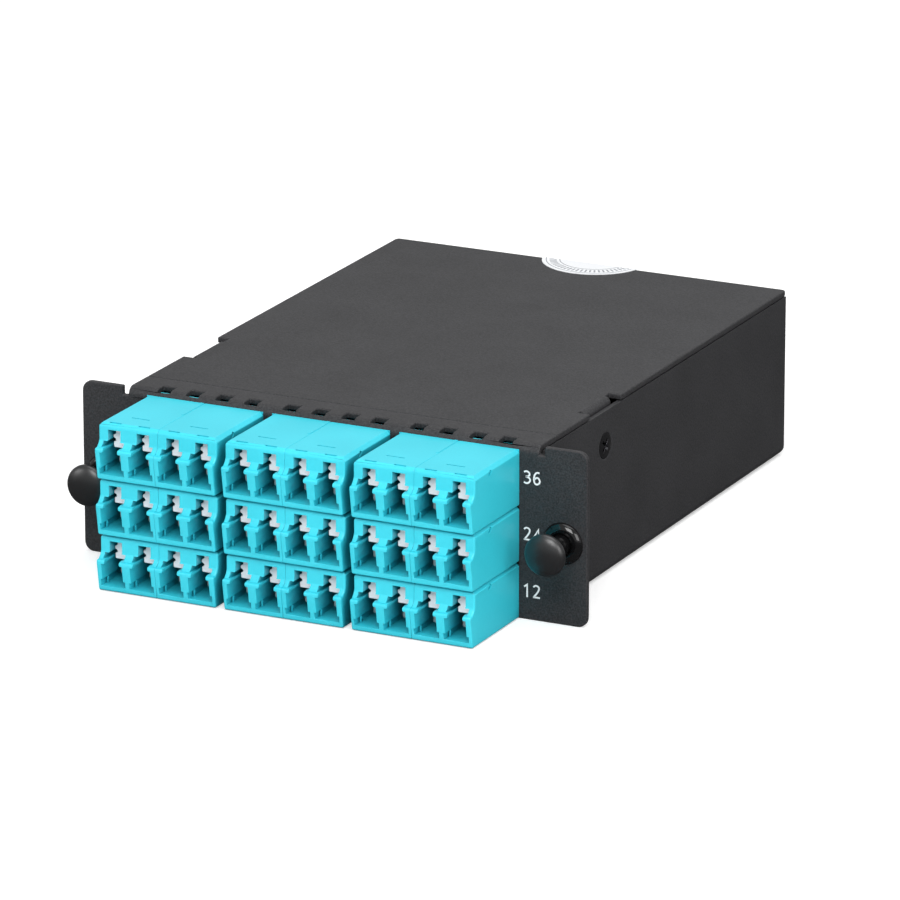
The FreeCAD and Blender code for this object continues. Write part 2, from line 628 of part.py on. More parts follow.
def fan_out(row):
    """Breakout block with the fibres that come into it from one row of plugs."""
    z = STACK_BASE + row * ROW_PITCH + PORT_Z
    starts = [x + port for x in column_places() for port in PORT_X]
    middle = (len(starts) - 1) / 2
    width = (len(starts) - 1) * BLOCK_FIBRE_PITCH + 2 * BLOCK_EDGE
    pieces = []
    for index, x in enumerate(starts):
        end = Vector((index - middle) * BLOCK_FIBRE_PITCH, BLOCK_Y, z)
        pieces.append(strand(eased(Vector(x, FIBRE_Y, z), end, FIBRE_RUNS), FIBRE_R, FIBRE_SIDES))
    carrier = block(around(0, width), (BLOCK_Y, BLOCK_Y + BLOCK_LENGTH), around(z, BLOCK_H))
    return carrier.fuse(pieces)


def multi_lead(row):
    """Round lead from a breakout block to the boot of a multi-fibre plug."""
    start = Vector(0, BLOCK_Y + BLOCK_LENGTH, STACK_BASE + row * ROW_PITCH + PORT_Z)
    end = Vector(multi_places()[row], LEAD_END_Y, MULTI_Z)
    return strand(eased(start, end, LEAD_RUNS), LEAD_R, LEAD_SIDES)


# The whole cassette

def save(name, shapes):
    """Write one node's solids, moved to the row's origin."""
    solids = shapes if isinstance(shapes, list) else [shapes]
    shape = solids[0] if len(solids) == 1 else Part.makeCompound(solids)
    shape = shape.copy()
    shape.translate(-ORIGIN)
    shape.exportStep(os.path.join("parts", name + ".step"))


def build():
    """Make every part of the cassette and write it."""
    os.makedirs("parts", exist_ok=True)
    save("base_tray", base_tray())
    save("front_panel", front_panel())
    save("top_cover", top_cover())
    save("cover_screws", cover_screws())
    save("seal_label", seal_label())
    save("adapter_clips", adapter_clips())
    kinds = {"lc_adapter": [adapter_housing()], "sleeve_holder": [sleeve_holder()], "lc_plugs": inner_plugs()}
    for index, (x, z) in enumerate(adapter_places()):
        first = index * PORTS_PER_ADAPTER + 1
        ports = "_%02d_%02d" % (first, first + PORTS_PER_ADAPTER - 1)
        for kind, solids in kinds.items():
            save(kind + ports, [moved(solid, x, 0, z) for solid in solids])
    for side, name in ((-1, "left"), (1, "right")):
        save("latch_grommet_" + name, moved(grommet(), side * LATCH_X, 0, LATCH_Z))
        save("latch_plunger_" + name, moved(plunger(), side * LATCH_X, 0, LATCH_Z))
    for row, x in enumerate(multi_places()):
        first = row * COLUMNS * PORTS_PER_ADAPTER + 1
        ports = "_%02d_%02d" % (first, first + COLUMNS * PORTS_PER_ADAPTER - 1)
        save("mpo_adapter" + ports, moved(multi_adapter(), x, 0, MULTI_Z))
        save("mpo_plug" + ports, moved(multi_plug(), x, 0, MULTI_Z))
        save("mpo_lead" + ports, multi_lead(row))
        save("fan_out" + ports, fan_out(row))


build()
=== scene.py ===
"""Looks of a fibre cassette: coated sheet metal, moulded adapters, latches, label and studio stage.

Sizes with a plain number are millimetres and are turned to metres by MM where a shape is made.
The frame's axes hold throughout: X to the right seen from the front, Y to the rear, Z up.
"""

import math

import bmesh
import bpy
from bpy.props import FloatProperty, FloatVectorProperty, IntProperty, PointerProperty
from mathutils import Matrix, Vector
from mathutils.geometry import intersect_line_line_2d


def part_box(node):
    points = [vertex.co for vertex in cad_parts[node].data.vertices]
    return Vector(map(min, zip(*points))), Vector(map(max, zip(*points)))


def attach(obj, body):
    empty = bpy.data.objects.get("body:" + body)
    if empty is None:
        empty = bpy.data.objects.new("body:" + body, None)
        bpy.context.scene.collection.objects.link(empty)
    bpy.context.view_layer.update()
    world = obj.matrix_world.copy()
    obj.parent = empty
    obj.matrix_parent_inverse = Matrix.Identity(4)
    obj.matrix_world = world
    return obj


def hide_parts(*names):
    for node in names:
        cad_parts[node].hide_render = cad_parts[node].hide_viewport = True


bl_info = {
    "name": "Fibre cassette looks",
    "version": (1, 0, 0),
    "blender": (4, 5, 0),
    "location": "View3D > Sidebar > Cassette",
    "description": "Dresses the fibre cassette's frame in its finished shapes and materials",
    "category": "Object",
}

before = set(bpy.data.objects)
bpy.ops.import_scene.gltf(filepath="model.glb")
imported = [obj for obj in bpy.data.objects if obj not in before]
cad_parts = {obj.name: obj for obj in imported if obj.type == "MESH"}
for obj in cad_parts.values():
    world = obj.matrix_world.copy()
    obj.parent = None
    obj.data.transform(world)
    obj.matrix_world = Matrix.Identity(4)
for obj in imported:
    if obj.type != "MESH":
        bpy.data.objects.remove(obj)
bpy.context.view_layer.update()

MM = 0.001
BODY = "cassette"
SIDES = {"left": -1, "right": 1}
PORT_RANGES = ["%02d_%02d" % (first, first + 3) for first in range(1, 36, 4)]
ROW_RANGES = ["%02d_%02d" % (first, first + 11) for first in range(1, 36, 12)]


def in_mm(node):
    """The low and high corner of a CAD node, in millimetres."""
    low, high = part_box(node)
    return low / MM, high / MM


# Places read from the frame
FACE_Y = in_mm("front_panel")[0].y
HOUSING_LOW, HOUSING_HIGH = in_mm("lc_adapter_01_04")
COLUMN_PITCH = in_mm("lc_adapter_05_08")[0].x - HOUSING_LOW.x
ROW_PITCH = in_mm("lc_adapter_13_16")[0].z - HOUSING_LOW.z
HALF_W = (HOUSING_HIGH.x - HOUSING_LOW.x) / 2
ROW_GAP = 0.1
HOUSING_H = ROW_PITCH - ROW_GAP
REACH = FACE_Y - HOUSING_LOW.y
SCREW_LOW, SCREW_HIGH = in_mm("cover_screws")

# How close points are merged, how close one counts as lying on a face, and within how many degrees the
# CAD's triangles count as one face
MERGE = 0.002
LATHE_MERGE = 0.003
SLICE_MERGE = 0.0001
ON_FACE = 0.005
FLAT_ANGLE = 0.6

# Steps of an arc, sides of a round, the least radius that an inset corner keeps, how far the lines reach
# that are crossed for it, and how sharply a stroke may bend before its corner is blunted
ARC_STEPS = 5
ROUND_SIDES = 96
LEAST_RADIUS = 0.05
LINE_REACH = 99
MITRE_LIMIT = 0.5

# The adapter's side view, from its nose back and from its underside up
NOSE_LEAN = 0.9
NOSE_LEAN_H = 5.6
NOSE_TOP = 6.5
CAP_DEPTH = 0.85
SWOOP_TOP = 7.9
SWOOP_BEND = 0.35
STRIP_SETBACK = 1.9
TOP_CHAMFER = 0.7

# Radii of the adapter's corners and long edges; the last two are cut in a few turns
NOSE_ROUND = 0.45
FOOT_ROUND = 0.45
TOP_ROUND = 1.0
PORT_EDGE = 0.1
SEAM_ROUND = 0.15
SIDE_ROUND = 0.36
ROUND_TURNS = 3

# The adapter's ports. A step of the outline, from the floor up, is half its width, the height where that
# width ends and the radius of the corner under it
PORT_MIDDLES = (3.225, 9.475)
ALL_PORTS = [side * x for side in (-1, 1) for x in PORT_MIDDLES]
PORT_FLOOR = 1.15
PORT_DEPTH = 8.7
PORT_STEPS = ((2.65, 2.4, 0), (2.25, 5.65, 0.12), (1.6, 6.53, 0.28), (2.25, 7.6, 0), (1.35, 9.85, 0.1))
PORT_ARC_STEPS = 4
RAIL_UNDER = 6.0
RAIL_INSET = 0.02

# How far a cutter reaches past the outside, behind a port's end and into what is already open
CUT_PAST = 1
CUT_BEHIND = 0.1
CUT_INTO = 0.5

# Grooves on the adapter's top: length along X, breadth along Y, depth, and how far behind the strip's front
DASH = (2.5, 0.42, 0.25)
DASH_BACK = 0.6
LONG_DASH = (3.9, 0.36, 0.2)
LONG_DASH_BACK = 4.9

# Stop in each port: width, breadth, height, and the distance from the nose
STOP_RIB = (0.35, 0.3, 1.3)
STOP_RIB_BACK = 2.6

# Strip beside the seam on top: width, length, rise, its gap to the seam, and how round its end is
TOP_RIB = (0.7, 8.6, 0.07)
TOP_RIB_SINK = 0.2
TOP_RIB_GAP = 0.12
TOP_RIB_ROUND = 0.9

# Dimple in the adapter's side: half its length, half its height and its depth, and its place and tilt
DIMPLE = (0.75, 0.42, 0.35)
DIMPLE_BACK = 8.5
DIMPLE_UP = 10.15
DIMPLE_TILT = 35.0
DIMPLE_SIDES = 16
DIMPLE_NEAR = 1.2

# How far below the CAD's the tops of the snaps lie that show in the windows
SNAP_LOWER = 0.6

# White holder in each adapter: plate, sockets and tongues, whose outline is a list of corners (x, z, radius).
# In the ports painted shade darkens its white, as far from a wall as the reach given below
PLATE_THICK = 1.5
PLATE_HALF = 11.75
PLATE_Z = (1.6, 9.45)
SOCKET_HALF = 1.2
SOCKET_ROUND = 0.35
SOCKET_EDGE = 0.08
SOCKET_REACH = 2.65
SOCKET_BORE_R = 0.66
SOCKET_BORE_SIDES = 20
SOCKET_Z = 3.4
IN_PORT_SHADE_REACH = 8.0
TONGUE_REACH = 4.75
TONGUE = ((-1.15, 5.85, 0.2), (-1.2, 6.95, 0.2), (-0.72, 7.1, 0.15), (-0.72, 7.5, 0.3), (-1.28, 7.85, 0.25),
          (-1.28, 8.35, 0.25), (-0.72, 8.65, 0.2), (-0.72, 9.35, 0.2), (0.58, 9.35, 0.2), (0.62, 7.15, 0.15),
          (1.42, 7.05, 0.15), (1.25, 5.85, 0.2))
TONGUE_EDGE = 0.12
TONGUE_ARC_STEPS = 3

# Screws: the head's crown as (share of its radius, depth), its rim as (in from the edge, depth), and the
# shank as (radius, depth)
SCREW_CROWN = ((0, -0.02), (0.7, 0.0))
SCREW_RIM = ((0.04, 0.08), (0.05, 0.14))
SCREW_SHANK = ((1.5, 1.2), (1.5, 4.6), (1.2, 5.0), (0, 5.0))
SCREW_SIDES = 48
SCREW_EDGE = 0.07

# The cross in a screw: an arm that tapers inwards, half its thickness, and how far the cross is turned
CROSS_ARM = ((-1.75, -0.5), (1.75, -0.5), (0.55, 1.9), (-0.55, 1.9))
CROSS_HALF = 0.3
CROSS_TURN = 40.0

# Grommet: how far behind the panel's face its barrel is kept from the CAD, and its flange's lip as (out from
# the bore, behind the front) and edge as (inwards, behind the front)
BARREL_START = 0.01
FLANGE_BORE_R = 2.15
FLANGE_LIP = ((0, 0.35), (0.12, 0.12), (0.35, 0))
FLANGE_EDGE = ((1.15, 0), (0.75, 0.14), (0.32, 0.5), (0.08, 0.85))
FLANGE_FOOT = 0.12
GROMMET_EDGE = 0.1

# Plunger's head: its depth, dome and rim together, how far the dome rises, and the rim at its back as
# (in from the edge, ahead of the back)
HEAD_DEPTH = 2.4
HEAD_DOME = 1.75
DOME_STEPS = 14
FULLER_POWER = 0.8
HEAD_BACK = ((0, 0.3), (0.1, 0.08), (0.3, 0))
PLUNGER_EDGE = 0.05

# Plunger's shaft: the waist as (radius, behind the head) and the collar as (radius, ahead of the end)
WAIST = ((0, -0.2), (2.9, -0.2), (2.9, 0), (2.5, 0.12), (2.2, 0.35), (2.1, 0.7))
COLLAR = ((2.1, 1.75), (2.4, 1.75), (2.4, 0.75), (2.1, 0), (0, 0))

# Seal label: its thickness, how far its middle lies past the fold, and the rings and marks printed on it
LABEL_THICK = 0.12
LABEL_OVERHANG = 2.8
SEAL_RINGS = (10.1, 7.3)
SEAL_LINE = 0.18
SEAL_MARK = (0.35, 1.5)
SEAL_MARK_RING = 8.7

# Edge of the multi-fibre adapters
MPO_EDGE = 0.2

# Port numbers: what each row's reads, its height, and their place across
NUMBERS = (("36", 28.6), ("24", 17.3), ("12", 5.9))
NUMBER_X = 42.85

# Strokes of the port numbers in a box one high: each is smooth or straight, and then its points
DIGITS = {
    "1": ((False, ((0.08, 0.76), (0.31, 0.94), (0.31, 0.0))),),
    "2": ((True, ((0.05, 0.82), (0.24, 0.94), (0.46, 0.86), (0.49, 0.68), (0.36, 0.42), (0.08, 0.06))),
          (False, ((0.03, 0.065), (0.57, 0.065)))),
    "3": ((True, ((0.04, 0.87), (0.24, 0.94), (0.44, 0.84), (0.44, 0.64), (0.17, 0.53))),
          (True, ((0.17, 0.53), (0.44, 0.46), (0.51, 0.27), (0.38, 0.1), (0.2, 0.06), (0.03, 0.12)))),
    "4": ((False, ((0.44, 0.0), (0.44, 0.92), (0.06, 0.27), (0.62, 0.27))),),
    "6": ((True, ((0.5, 0.91), (0.3, 0.92), (0.13, 0.74), (0.07, 0.42), (0.13, 0.14), (0.3, 0.06),
                  (0.48, 0.16), (0.52, 0.34), (0.42, 0.52), (0.26, 0.54), (0.1, 0.4))),),
}
DIGIT_STROKE = 0.125
DIGIT_STEP = 0.74
DIGIT_HALF = 0.29
DIGIT_BEND_STEPS = 6

# How wide the patches are in which a colour wavers, and where between them the two tones stand
PATCH = 12.0
TONES_AT = (0.35, 0.65)

# How open a cavity is, as a share, where its painted shade is full and where it ends
OPEN_SHARES = (0.1, 0.55)

# The stage, in metres and watts: each lamp's name, place, size and power, and what they point at
LAMPS = (("key", (0.2, -0.75, 0.72), 0.5, 5.8), ("top", (0.1, 0.1, 0.9), 0.8, 3.8),
         ("side", (0.8, -0.5, 0.4), 0.5, 3.0), ("left", (-0.9, -0.7, 0.5), 0.5, 2.8))
LAMP_AIM = (0, 0, 0.015)
FILL = 0.5
FLOOR_HALF = 4.0
FLOOR_GLOW = 0.42
FLOOR_FADE = (0.25, 0.8)

# How far the floor lies under the part, and the length under which a ray passes through it
FLOOR_DROP = 0.02
FLOOR_CLEAR = 0.3


# Colours and materials

def linear(code):
    """An sRGB hex colour as linear red, green, blue and alpha."""
    values = []
    for start in (1, 3, 5):
        part = int(code[start:start + 2], 16) / 255
        values.append(part / 12.92 if part <= 0.04045 else ((part + 0.055) / 1.055) ** 2.4)
    return (*values, 1.0)


def add(tree, kind, inputs=None, **settings):
    """One node with its settings. An input is a value, or another node's output to link."""
    made = tree.nodes.new(kind)
    for key, value in settings.items():
        setattr(made, key, value)
    for key, value in (inputs or {}).items():
        if isinstance(value, bpy.types.NodeSocket):
            tree.links.new(value, made.inputs[key])
        else:
            made.inputs[key].default_value = value
    return made


def blank(name):
    """A new material with an empty node tree."""
    material = bpy.data.materials.new(name)
    material.use_nodes = True
    material.node_tree.nodes.clear()
    return material


def grained(name, dark, light, grain, relief, roughness, ior=1.5, metallic=0.0, specular=0.5, contrast=0.5,
            painted_shade=None, reach=5.0):
    """A material whose colour wavers between two tones and whose surface has a fine grain.

    grain is its spacing and relief its height, in millimetres, and contrast its share in the colour.
    A third colour, if given, is painted shade: the colour is darkened to it in cavities,
    as far as reach, in millimetres, sees a wall.
    """
    material = blank(name)
    tree = material.node_tree
    place = add(tree, "ShaderNodeTexCoord").outputs["Object"]
    fine = add(tree, "ShaderNodeTexNoise", {"Vector": place, "Scale": 1 / (grain * MM), "Detail": 2.0,
                                            "Roughness": 0.6})
    broad = add(tree, "ShaderNodeTexNoise", {"Vector": place, "Scale": 1 / (PATCH * MM), "Detail": 1.0})
    share = add(tree, "ShaderNodeMix", {"Factor": contrast, "A": broad.outputs["Fac"],
                                        "B": fine.outputs["Fac"]})
    ramp = add(tree, "ShaderNodeValToRGB", {"Fac": share.outputs["Result"]})
    for element, position, tone in zip(ramp.color_ramp.elements, TONES_AT, (dark, light)):
        element.position = position
        element.color = tone
    bump = add(tree, "ShaderNodeBump", {"Height": fine.outputs["Fac"], "Strength": 1.0,
                                        "Distance": relief * MM})
    colour = ramp.outputs["Color"]
    # Painted shade: where ambient occlusion finds walls near, the colour is darkened towards the shade colour
    if painted_shade:
        occlusion = add(tree, "ShaderNodeAmbientOcclusion", {"Distance": reach * MM}, samples=8)
        share = add(tree, "ShaderNodeMapRange", {"Value": occlusion.outputs["AO"], "From Min": OPEN_SHARES[0],
                                                 "From Max": OPEN_SHARES[1]})
        colour = add(tree, "ShaderNodeMix", {"Factor": share.outputs["Result"], "A": painted_shade, "B": colour},
                     data_type="RGBA").outputs["Result"]
    shader = add(tree, "ShaderNodeBsdfPrincipled", {
        "Base Color": colour, "Normal": bump.outputs["Normal"], "Roughness": roughness, "IOR": ior,
        "Metallic": metallic, "Specular IOR Level": specular})
    add(tree, "ShaderNodeOutputMaterial", {"Surface": shader.outputs["BSDF"]})
    return material


def powder_coat(settings):
    """Epoxy powder coat baked on sheet steel: a fine sandy grain that spreads the light into a soft sheen.

    The real grain is about 0.2 mm; it is drawn coarser, so that it shows.
    """
    return grained("black_powder_coat", settings.coat_dark, settings.coat_light, grain=0.36, relief=0.03,
                   roughness=0.5, specular=0.3, contrast=0.85)


def black_oxide_steel():
    """Oxidised steel of the screws: dark, with a metal's hard glints."""
    return grained("black_oxide_steel", linear("#4c4c4f"), linear("#5e5e62"), grain=0.2, relief=0.003,
                   roughness=0.2, metallic=1.0)


def aqua_moulding(settings):
    """Polyester moulded in a polished tool: clean even colour and a broad soft gloss, with painted shade in
    its cavities.
    """
    return grained("aqua_polyester_moulded", settings.plastic_dark, settings.plastic_light, grain=0.5,
                   relief=0.002, roughness=0.34, contrast=0.3, painted_shade=settings.plastic_painted_shade)


def white_moulding(name="white_polyester_moulded", reach=1.2):
    """White polyester of the holders: a little waxy, and darkened by painted shade where it sits far down in
    a port.
    """
    return grained(name, linear("#f1eef1"), linear("#f8f6f8"), grain=0.4, relief=0.002, roughness=0.38,
                   painted_shade=linear("#2c4e53"), reach=reach)


def black_nylon_polished():
    """Nylon from a polished tool, on the grommets: near-black with sharp highlights."""
    return grained("black_nylon_polished", linear("#0a0a0b"), linear("#0f0f10"), grain=0.6, relief=0.001,
                   roughness=0.1, ior=1.53)


def black_nylon_satin():
    """Nylon with a fine eroded texture, on the plungers' heads: a dull sheen."""
    return grained("black_nylon_satin", linear("#151516"), linear("#1d1d1f"), grain=0.35, relief=0.003,
                   roughness=0.34, ior=1.65)


def black_adapter_plastic():
    """Black polyester of the multi-fibre adapters: even, half gloss."""
    return grained("black_polyester_moulded", linear("#161617"), linear("#1d1d1e"), grain=0.4, relief=0.004,
                   roughness=0.36)


def beige_plug_plastic():
    """Beige polyester of the inner plugs."""
    return grained("beige_polyester_moulded", linear("#b3a98c"), linear("#bfb698"), grain=0.4, relief=0.003,
                   roughness=0.42)


def spring_steel():
    """Rolled spring steel of the clips: bright, with fine rolling lines."""
    return grained("spring_steel_rolled", linear("#b9babd"), linear("#c9cacc"), grain=0.15, relief=0.002,
                   roughness=0.3, metallic=1.0)


def aqua_jacket():
    """Extruded jacket of the fibres and leads: smooth and slightly matt."""
    return grained("aqua_jacket_extruded", linear("#2fb4c4"), linear("#37bdcd"), grain=0.3, relief=0.003,
                   roughness=0.45, ior=1.46)


def seal_paper():
    """Coated paper of the seal: white, smooth, hardly any gloss."""
    return grained("seal_paper_coated", linear("#dfe1e4"), linear("#e6e8ea"), grain=0.3, relief=0.002,
                   roughness=0.48, ior=1.45)


def grey_ink():
    """Printing ink on the seal, thin and matt."""
    return grained("grey_printing_ink", linear("#8a8d92"), linear("#989ba0"), grain=0.3, relief=0.001,
                   roughness=0.6, ior=1.45)


def white_ink():
    """Screen ink of the port numbers: opaque white, slightly raised."""
    return grained("white_screen_ink", linear("#e4e4e4"), linear("#efefef"), grain=0.25, relief=0.002,
                   roughness=0.55, ior=1.45)


# Shapes

def rounded(corners, steps=ARC_STEPS):
    """The points of a closed outline whose corners (a, b, radius) are rounded."""
    points = []
    for index, (a, b, radius) in enumerate(corners):
        here = Vector((a, b))
        if not radius:
            points.append(here)
            continue
        before = (Vector(corners[index - 1][:2]) - here).normalized()
        after = (Vector(corners[(index + 1) % len(corners)][:2]) - here).normalized()
        half = before.angle(after) / 2
        centre = here + (before + after).normalized() * (radius / math.sin(half))
        start = here + before * (radius / math.tan(half)) - centre
        end = here + after * (radius / math.tan(half)) - centre
        sweep = start.angle(end)
        for step in range(steps + 1):
            t = step / steps
            spoke = (start * math.sin((1 - t) * sweep) + end * math.sin(t * sweep)) / math.sin(sweep)
            points.append(centre + spoke)
    return points


def rectangle(x, z, radius=0):
    """The corners of a rectangle from its limits along two axes, for rounded()."""
    return [(x[0], z[0], radius), (x[1], z[0], radius), (x[1], z[1], radius), (x[0], z[1], radius)]


def box_outline(middle, width, front, depth):
    """The corners of a rectangle from its middle and width along X, and its front and depth along Y."""
    half = width / 2
    return [(middle - half, front), (middle + half, front), (middle + half, front + depth),
            (middle - half, front + depth)]


def ring_points(centre, radius, sides):
    """The points of a circle as a many-sided outline."""
    return [Vector((centre[0] + radius * math.cos(math.tau * i / sides),
                    centre[1] + radius * math.sin(math.tau * i / sides))) for i in range(sides)]


def eased_through(points, steps):
    """A smooth path through points, with a few steps between each pair."""
    path = []
    ends = [2 * points[0] - points[1]] + points + [2 * points[-1] - points[-2]]
    for before, start, end, after in zip(ends, ends[1:], ends[2:], ends[3:]):
        for step in range(steps):
            t = step / steps
            path.append(0.5 * (2 * start + (end - before) * t
                               + (2 * before - 5 * start + 4 * end - after) * t ** 2
                               + (3 * start - before - 3 * end + after) * t ** 3))
    return path + [points[-1]]


def ribbon(path, width):
    """The outline of a flat stroke of even width along a path."""
    sides = ([], [])
    runs = [(end - start).normalized() for start, end in zip(path, path[1:])]
    for point, back, ahead in zip(path, runs[:1] + runs, runs + runs[-1:]):
        along = (ahead + back).normalized()
        across = Vector((-along.y, along.x)) * (width / 2 / max(along.dot(ahead), MITRE_LIMIT))
        sides[0].append(point + across)
        sides[1].append(point - across)
    return sides[0] + sides[1][::-1]


def inset(corners, steps):
    """The corners of a clockwise outline, with each side moved inwards by its own step."""
    moved = []
    for index, (a, b, radius) in enumerate(corners):
        here = Vector((a, b))
        before = (here - Vector(corners[index - 1][:2])).normalized()
        after = (Vector(corners[(index + 1) % len(corners)][:2]) - here).normalized()
        lines = []
        for along, step in ((before, steps[index - 1]), (after, steps[index])):
            start = here + Vector((along.y, -along.x)) * step
            lines += [start - along * LINE_REACH, start + along * LINE_REACH]
        meet = intersect_line_line_2d(*lines)
        left = max(radius - max(steps[index - 1], steps[index]), LEAST_RADIUS)
        moved.append((meet.x, meet.y, left if radius else 0))
    return moved


def drum(rings, to_space):
    """A closed bmesh through outlines of one number of points, each (outline, level).

    to_space turns a point of an outline and its level into a place.
    """
    bm = bmesh.new()
    loops = [[bm.verts.new(to_space(p, level) * MM) for p in outline] for outline, level in rings]
    bm.faces.new(loops[0])
    bm.faces.new(reversed(loops[-1]))
    for low, high in zip(loops, loops[1:]):
        for i in range(len(low)):
            j = (i + 1) % len(low)
            bm.faces.new([low[j], low[i], high[i], high[j]])
    bmesh.ops.recalc_face_normals(bm, faces=bm.faces)
    return bm


def prism(outline, to_space, low, high):
    """A bmesh drawn out between two levels from one outline."""
    return drum([(outline, low), (outline, high)], to_space)


def along_x(point, level):
    """A (y, z) point at a place along X."""
    return Vector((level, point[0], point[1]))


def along_y(point, level):
    """An (x, z) point at a place along Y."""
    return Vector((point[0], level, point[1]))


def along_z(point, level):
    """An (x, y) point at a place along Z."""
    return Vector((point[0], point[1], level))


def linked(name, data):
    """An object in the scene that holds a mesh, a curve, a lamp or a camera."""
    made = bpy.data.objects.new(name, data)
    bpy.context.scene.collection.objects.link(made)
    return made


def to_object(bm, name):
    """A linked object from a bmesh, which is freed."""
    mesh = bpy.data.meshes.new(name)
    bm.to_mesh(mesh)
    bm.free()
    return linked(name, mesh)


def taken(obj):
    """The mesh that an object shows with its modifiers, and the object removed."""
    graph = bpy.context.evaluated_depsgraph_get()
    mesh = bpy.data.meshes.new_from_object(obj.evaluated_get(graph), depsgraph=graph)
    bpy.data.objects.remove(obj)
    return mesh


def merged(name, parts):
    """One object from bmeshes or meshes, in the order given."""
    whole = bmesh.new()
    for part in parts:
        if isinstance(part, bpy.types.Mesh):
            whole.from_mesh(part)
            continue
        mesh = bpy.data.meshes.new("part")
        part.to_mesh(mesh)
        part.free()
        whole.from_mesh(mesh)
        bpy.data.meshes.remove(mesh)
    return to_object(whole, name)


def plate(outlines, y, rim=0.0):
    """A mesh of a plate across Y from closed (x, z) outlines, the later ones holes, with round rims."""
    curve = bpy.data.curves.new("plate", "CURVE")
    curve.dimensions = "2D"
    curve.fill_mode = "BOTH"
    curve.extrude = ((y[1] - y[0]) / 2 - rim) * MM
    curve.bevel_depth = rim * MM
    curve.bevel_resolution = 2
    curve.offset = -rim * MM
    for outline in outlines:
        spline = curve.splines.new("POLY")
        spline.points.add(len(outline) - 1)
        for point, (a, b) in zip(spline.points, outline):
            point.co = (a * MM, b * MM, 0, 1)
        spline.use_cyclic_u = True
    shape = linked("plate", curve)
    bpy.context.view_layer.update()
    mesh = taken(shape)
    upright = Matrix.Rotation(math.pi / 2, 4, "X")
    mesh.transform(Matrix.Translation((0, (y[0] + y[1]) / 2 * MM, 0)) @ upright)
    return healed(mesh)


def healed(mesh):
    """A mesh with its doubles merged and its faces turned outwards."""
    bm = bmesh.new()
    bm.from_mesh(mesh)
    bmesh.ops.remove_doubles(bm, verts=bm.verts, dist=MERGE * MM)
    bmesh.ops.recalc_face_normals(bm, faces=bm.faces)
    bm.to_mesh(mesh)
    bm.free()
    return mesh


def lathe(profile, place, sides=ROUND_SIDES):
    """A bmesh turned about an axis along Y through a place (x, z), from (radius, y) points."""
    bm = bmesh.new()
    verts = [bm.verts.new(Vector((r, y, 0)) * MM) for r, y in profile]
    edges = [bm.edges.new(pair) for pair in zip(verts, verts[1:])]
    bmesh.ops.spin(bm, geom=verts + edges, axis=(0, 1, 0), cent=(0, 0, 0), angle=math.tau, steps=sides)
    bmesh.ops.remove_doubles(bm, verts=bm.verts, dist=LATHE_MERGE * MM)
    bmesh.ops.recalc_face_normals(bm, faces=bm.faces)
    bmesh.ops.translate(bm, verts=bm.verts, vec=Vector((place[0], 0, place[1])) * MM)
    return bm


def cad_copy(*nodes):
    """A bmesh of CAD nodes with their loose triangles merged into whole faces."""
    bm = bmesh.new()
    for node in nodes:
        bm.from_mesh(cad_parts[node].data)
    bmesh.ops.remove_doubles(bm, verts=bm.verts, dist=MERGE * MM)
    bmesh.ops.dissolve_limit(bm, angle_limit=math.radians(FLAT_ANGLE), verts=bm.verts, edges=bm.edges)
    return bm


def sliced(bm, place, away):
    """A bmesh without what lies past a plane through a place, in metres, that faces away from the rest."""
    bmesh.ops.bisect_plane(bm, geom=bm.verts[:] + bm.edges[:] + bm.faces[:], dist=SLICE_MERGE * MM,
                           plane_co=place, plane_no=away, clear_outer=True)
    return bm


def soften(obj, edge, angle=35.0, stays_sharp=None):
    """Small round edges, with broad faces that stay flat in the light.

    stays_sharp says of an edge's middle, in millimetres, whether the edge keeps its sharp corner.
    """
    limit = math.radians(angle)
    bm = bmesh.new()
    bm.from_mesh(obj.data)
    weight = bm.edges.layers.float.new("bevel_weight_edge")
    for face in bm.faces:
        face.smooth = True
    for line in bm.edges:
        if line.calc_face_angle(0.0) > limit:
            middle = (line.verts[0].co + line.verts[1].co) / 2 / MM
            if stays_sharp and stays_sharp(middle):
                line.smooth = False
            else:
                line[weight] = 1.0
    bm.to_mesh(obj.data)
    bm.free()
    bevel = obj.modifiers.new("edges", "BEVEL")
    bevel.width = edge * MM
    bevel.segments = 2
    bevel.limit_method = "WEIGHT"
    bevel.use_clamp_overlap = False
    bevel.harden_normals = True
    weights = obj.modifiers.new("faces", "WEIGHTED_NORMAL")
    weights.keep_sharp = True
    return obj


def carve(obj, cutter):
    """Cut one object's shape out of another's, and keep the result as plain mesh."""
    cut = obj.modifiers.new("cut", "BOOLEAN")
    cut.object = cutter
    cut.solver = "EXACT"
    bpy.context.view_layer.update()
    name = obj.name
    mesh = taken(obj)
    bpy.data.objects.remove(cutter)
    return linked(name, mesh)


def dressed(obj, material, body, replaced=()):
    """A finished piece: its material, the body it rides on and the nodes it stands for."""
    obj.data.materials.clear()
    obj.data.materials.append(material)
    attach(obj, body)
    if replaced:
        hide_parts(*replaced)
    return obj


def coat_node(node, material):
    """A material for a CAD node that is shown as it is."""
    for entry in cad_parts[node].material_slots:
        entry.link = "OBJECT"
        entry.material = material


# What repeats

def repeat_tree(name, inputs):
    """A new tree with a piece, a finish and its own inputs, and what its input node gives."""
    tree = bpy.data.node_groups.new(name, "GeometryNodeTree")
    for socket, kind in {"Piece": "Object", "Finish": "Material", **inputs}.items():
        tree.interface.new_socket(socket, in_out="INPUT", socket_type="NodeSocket" + kind)
    tree.interface.new_socket("Geometry", in_out="OUTPUT", socket_type="NodeSocketGeometry")
    return tree, add(tree, "NodeGroupInput").outputs


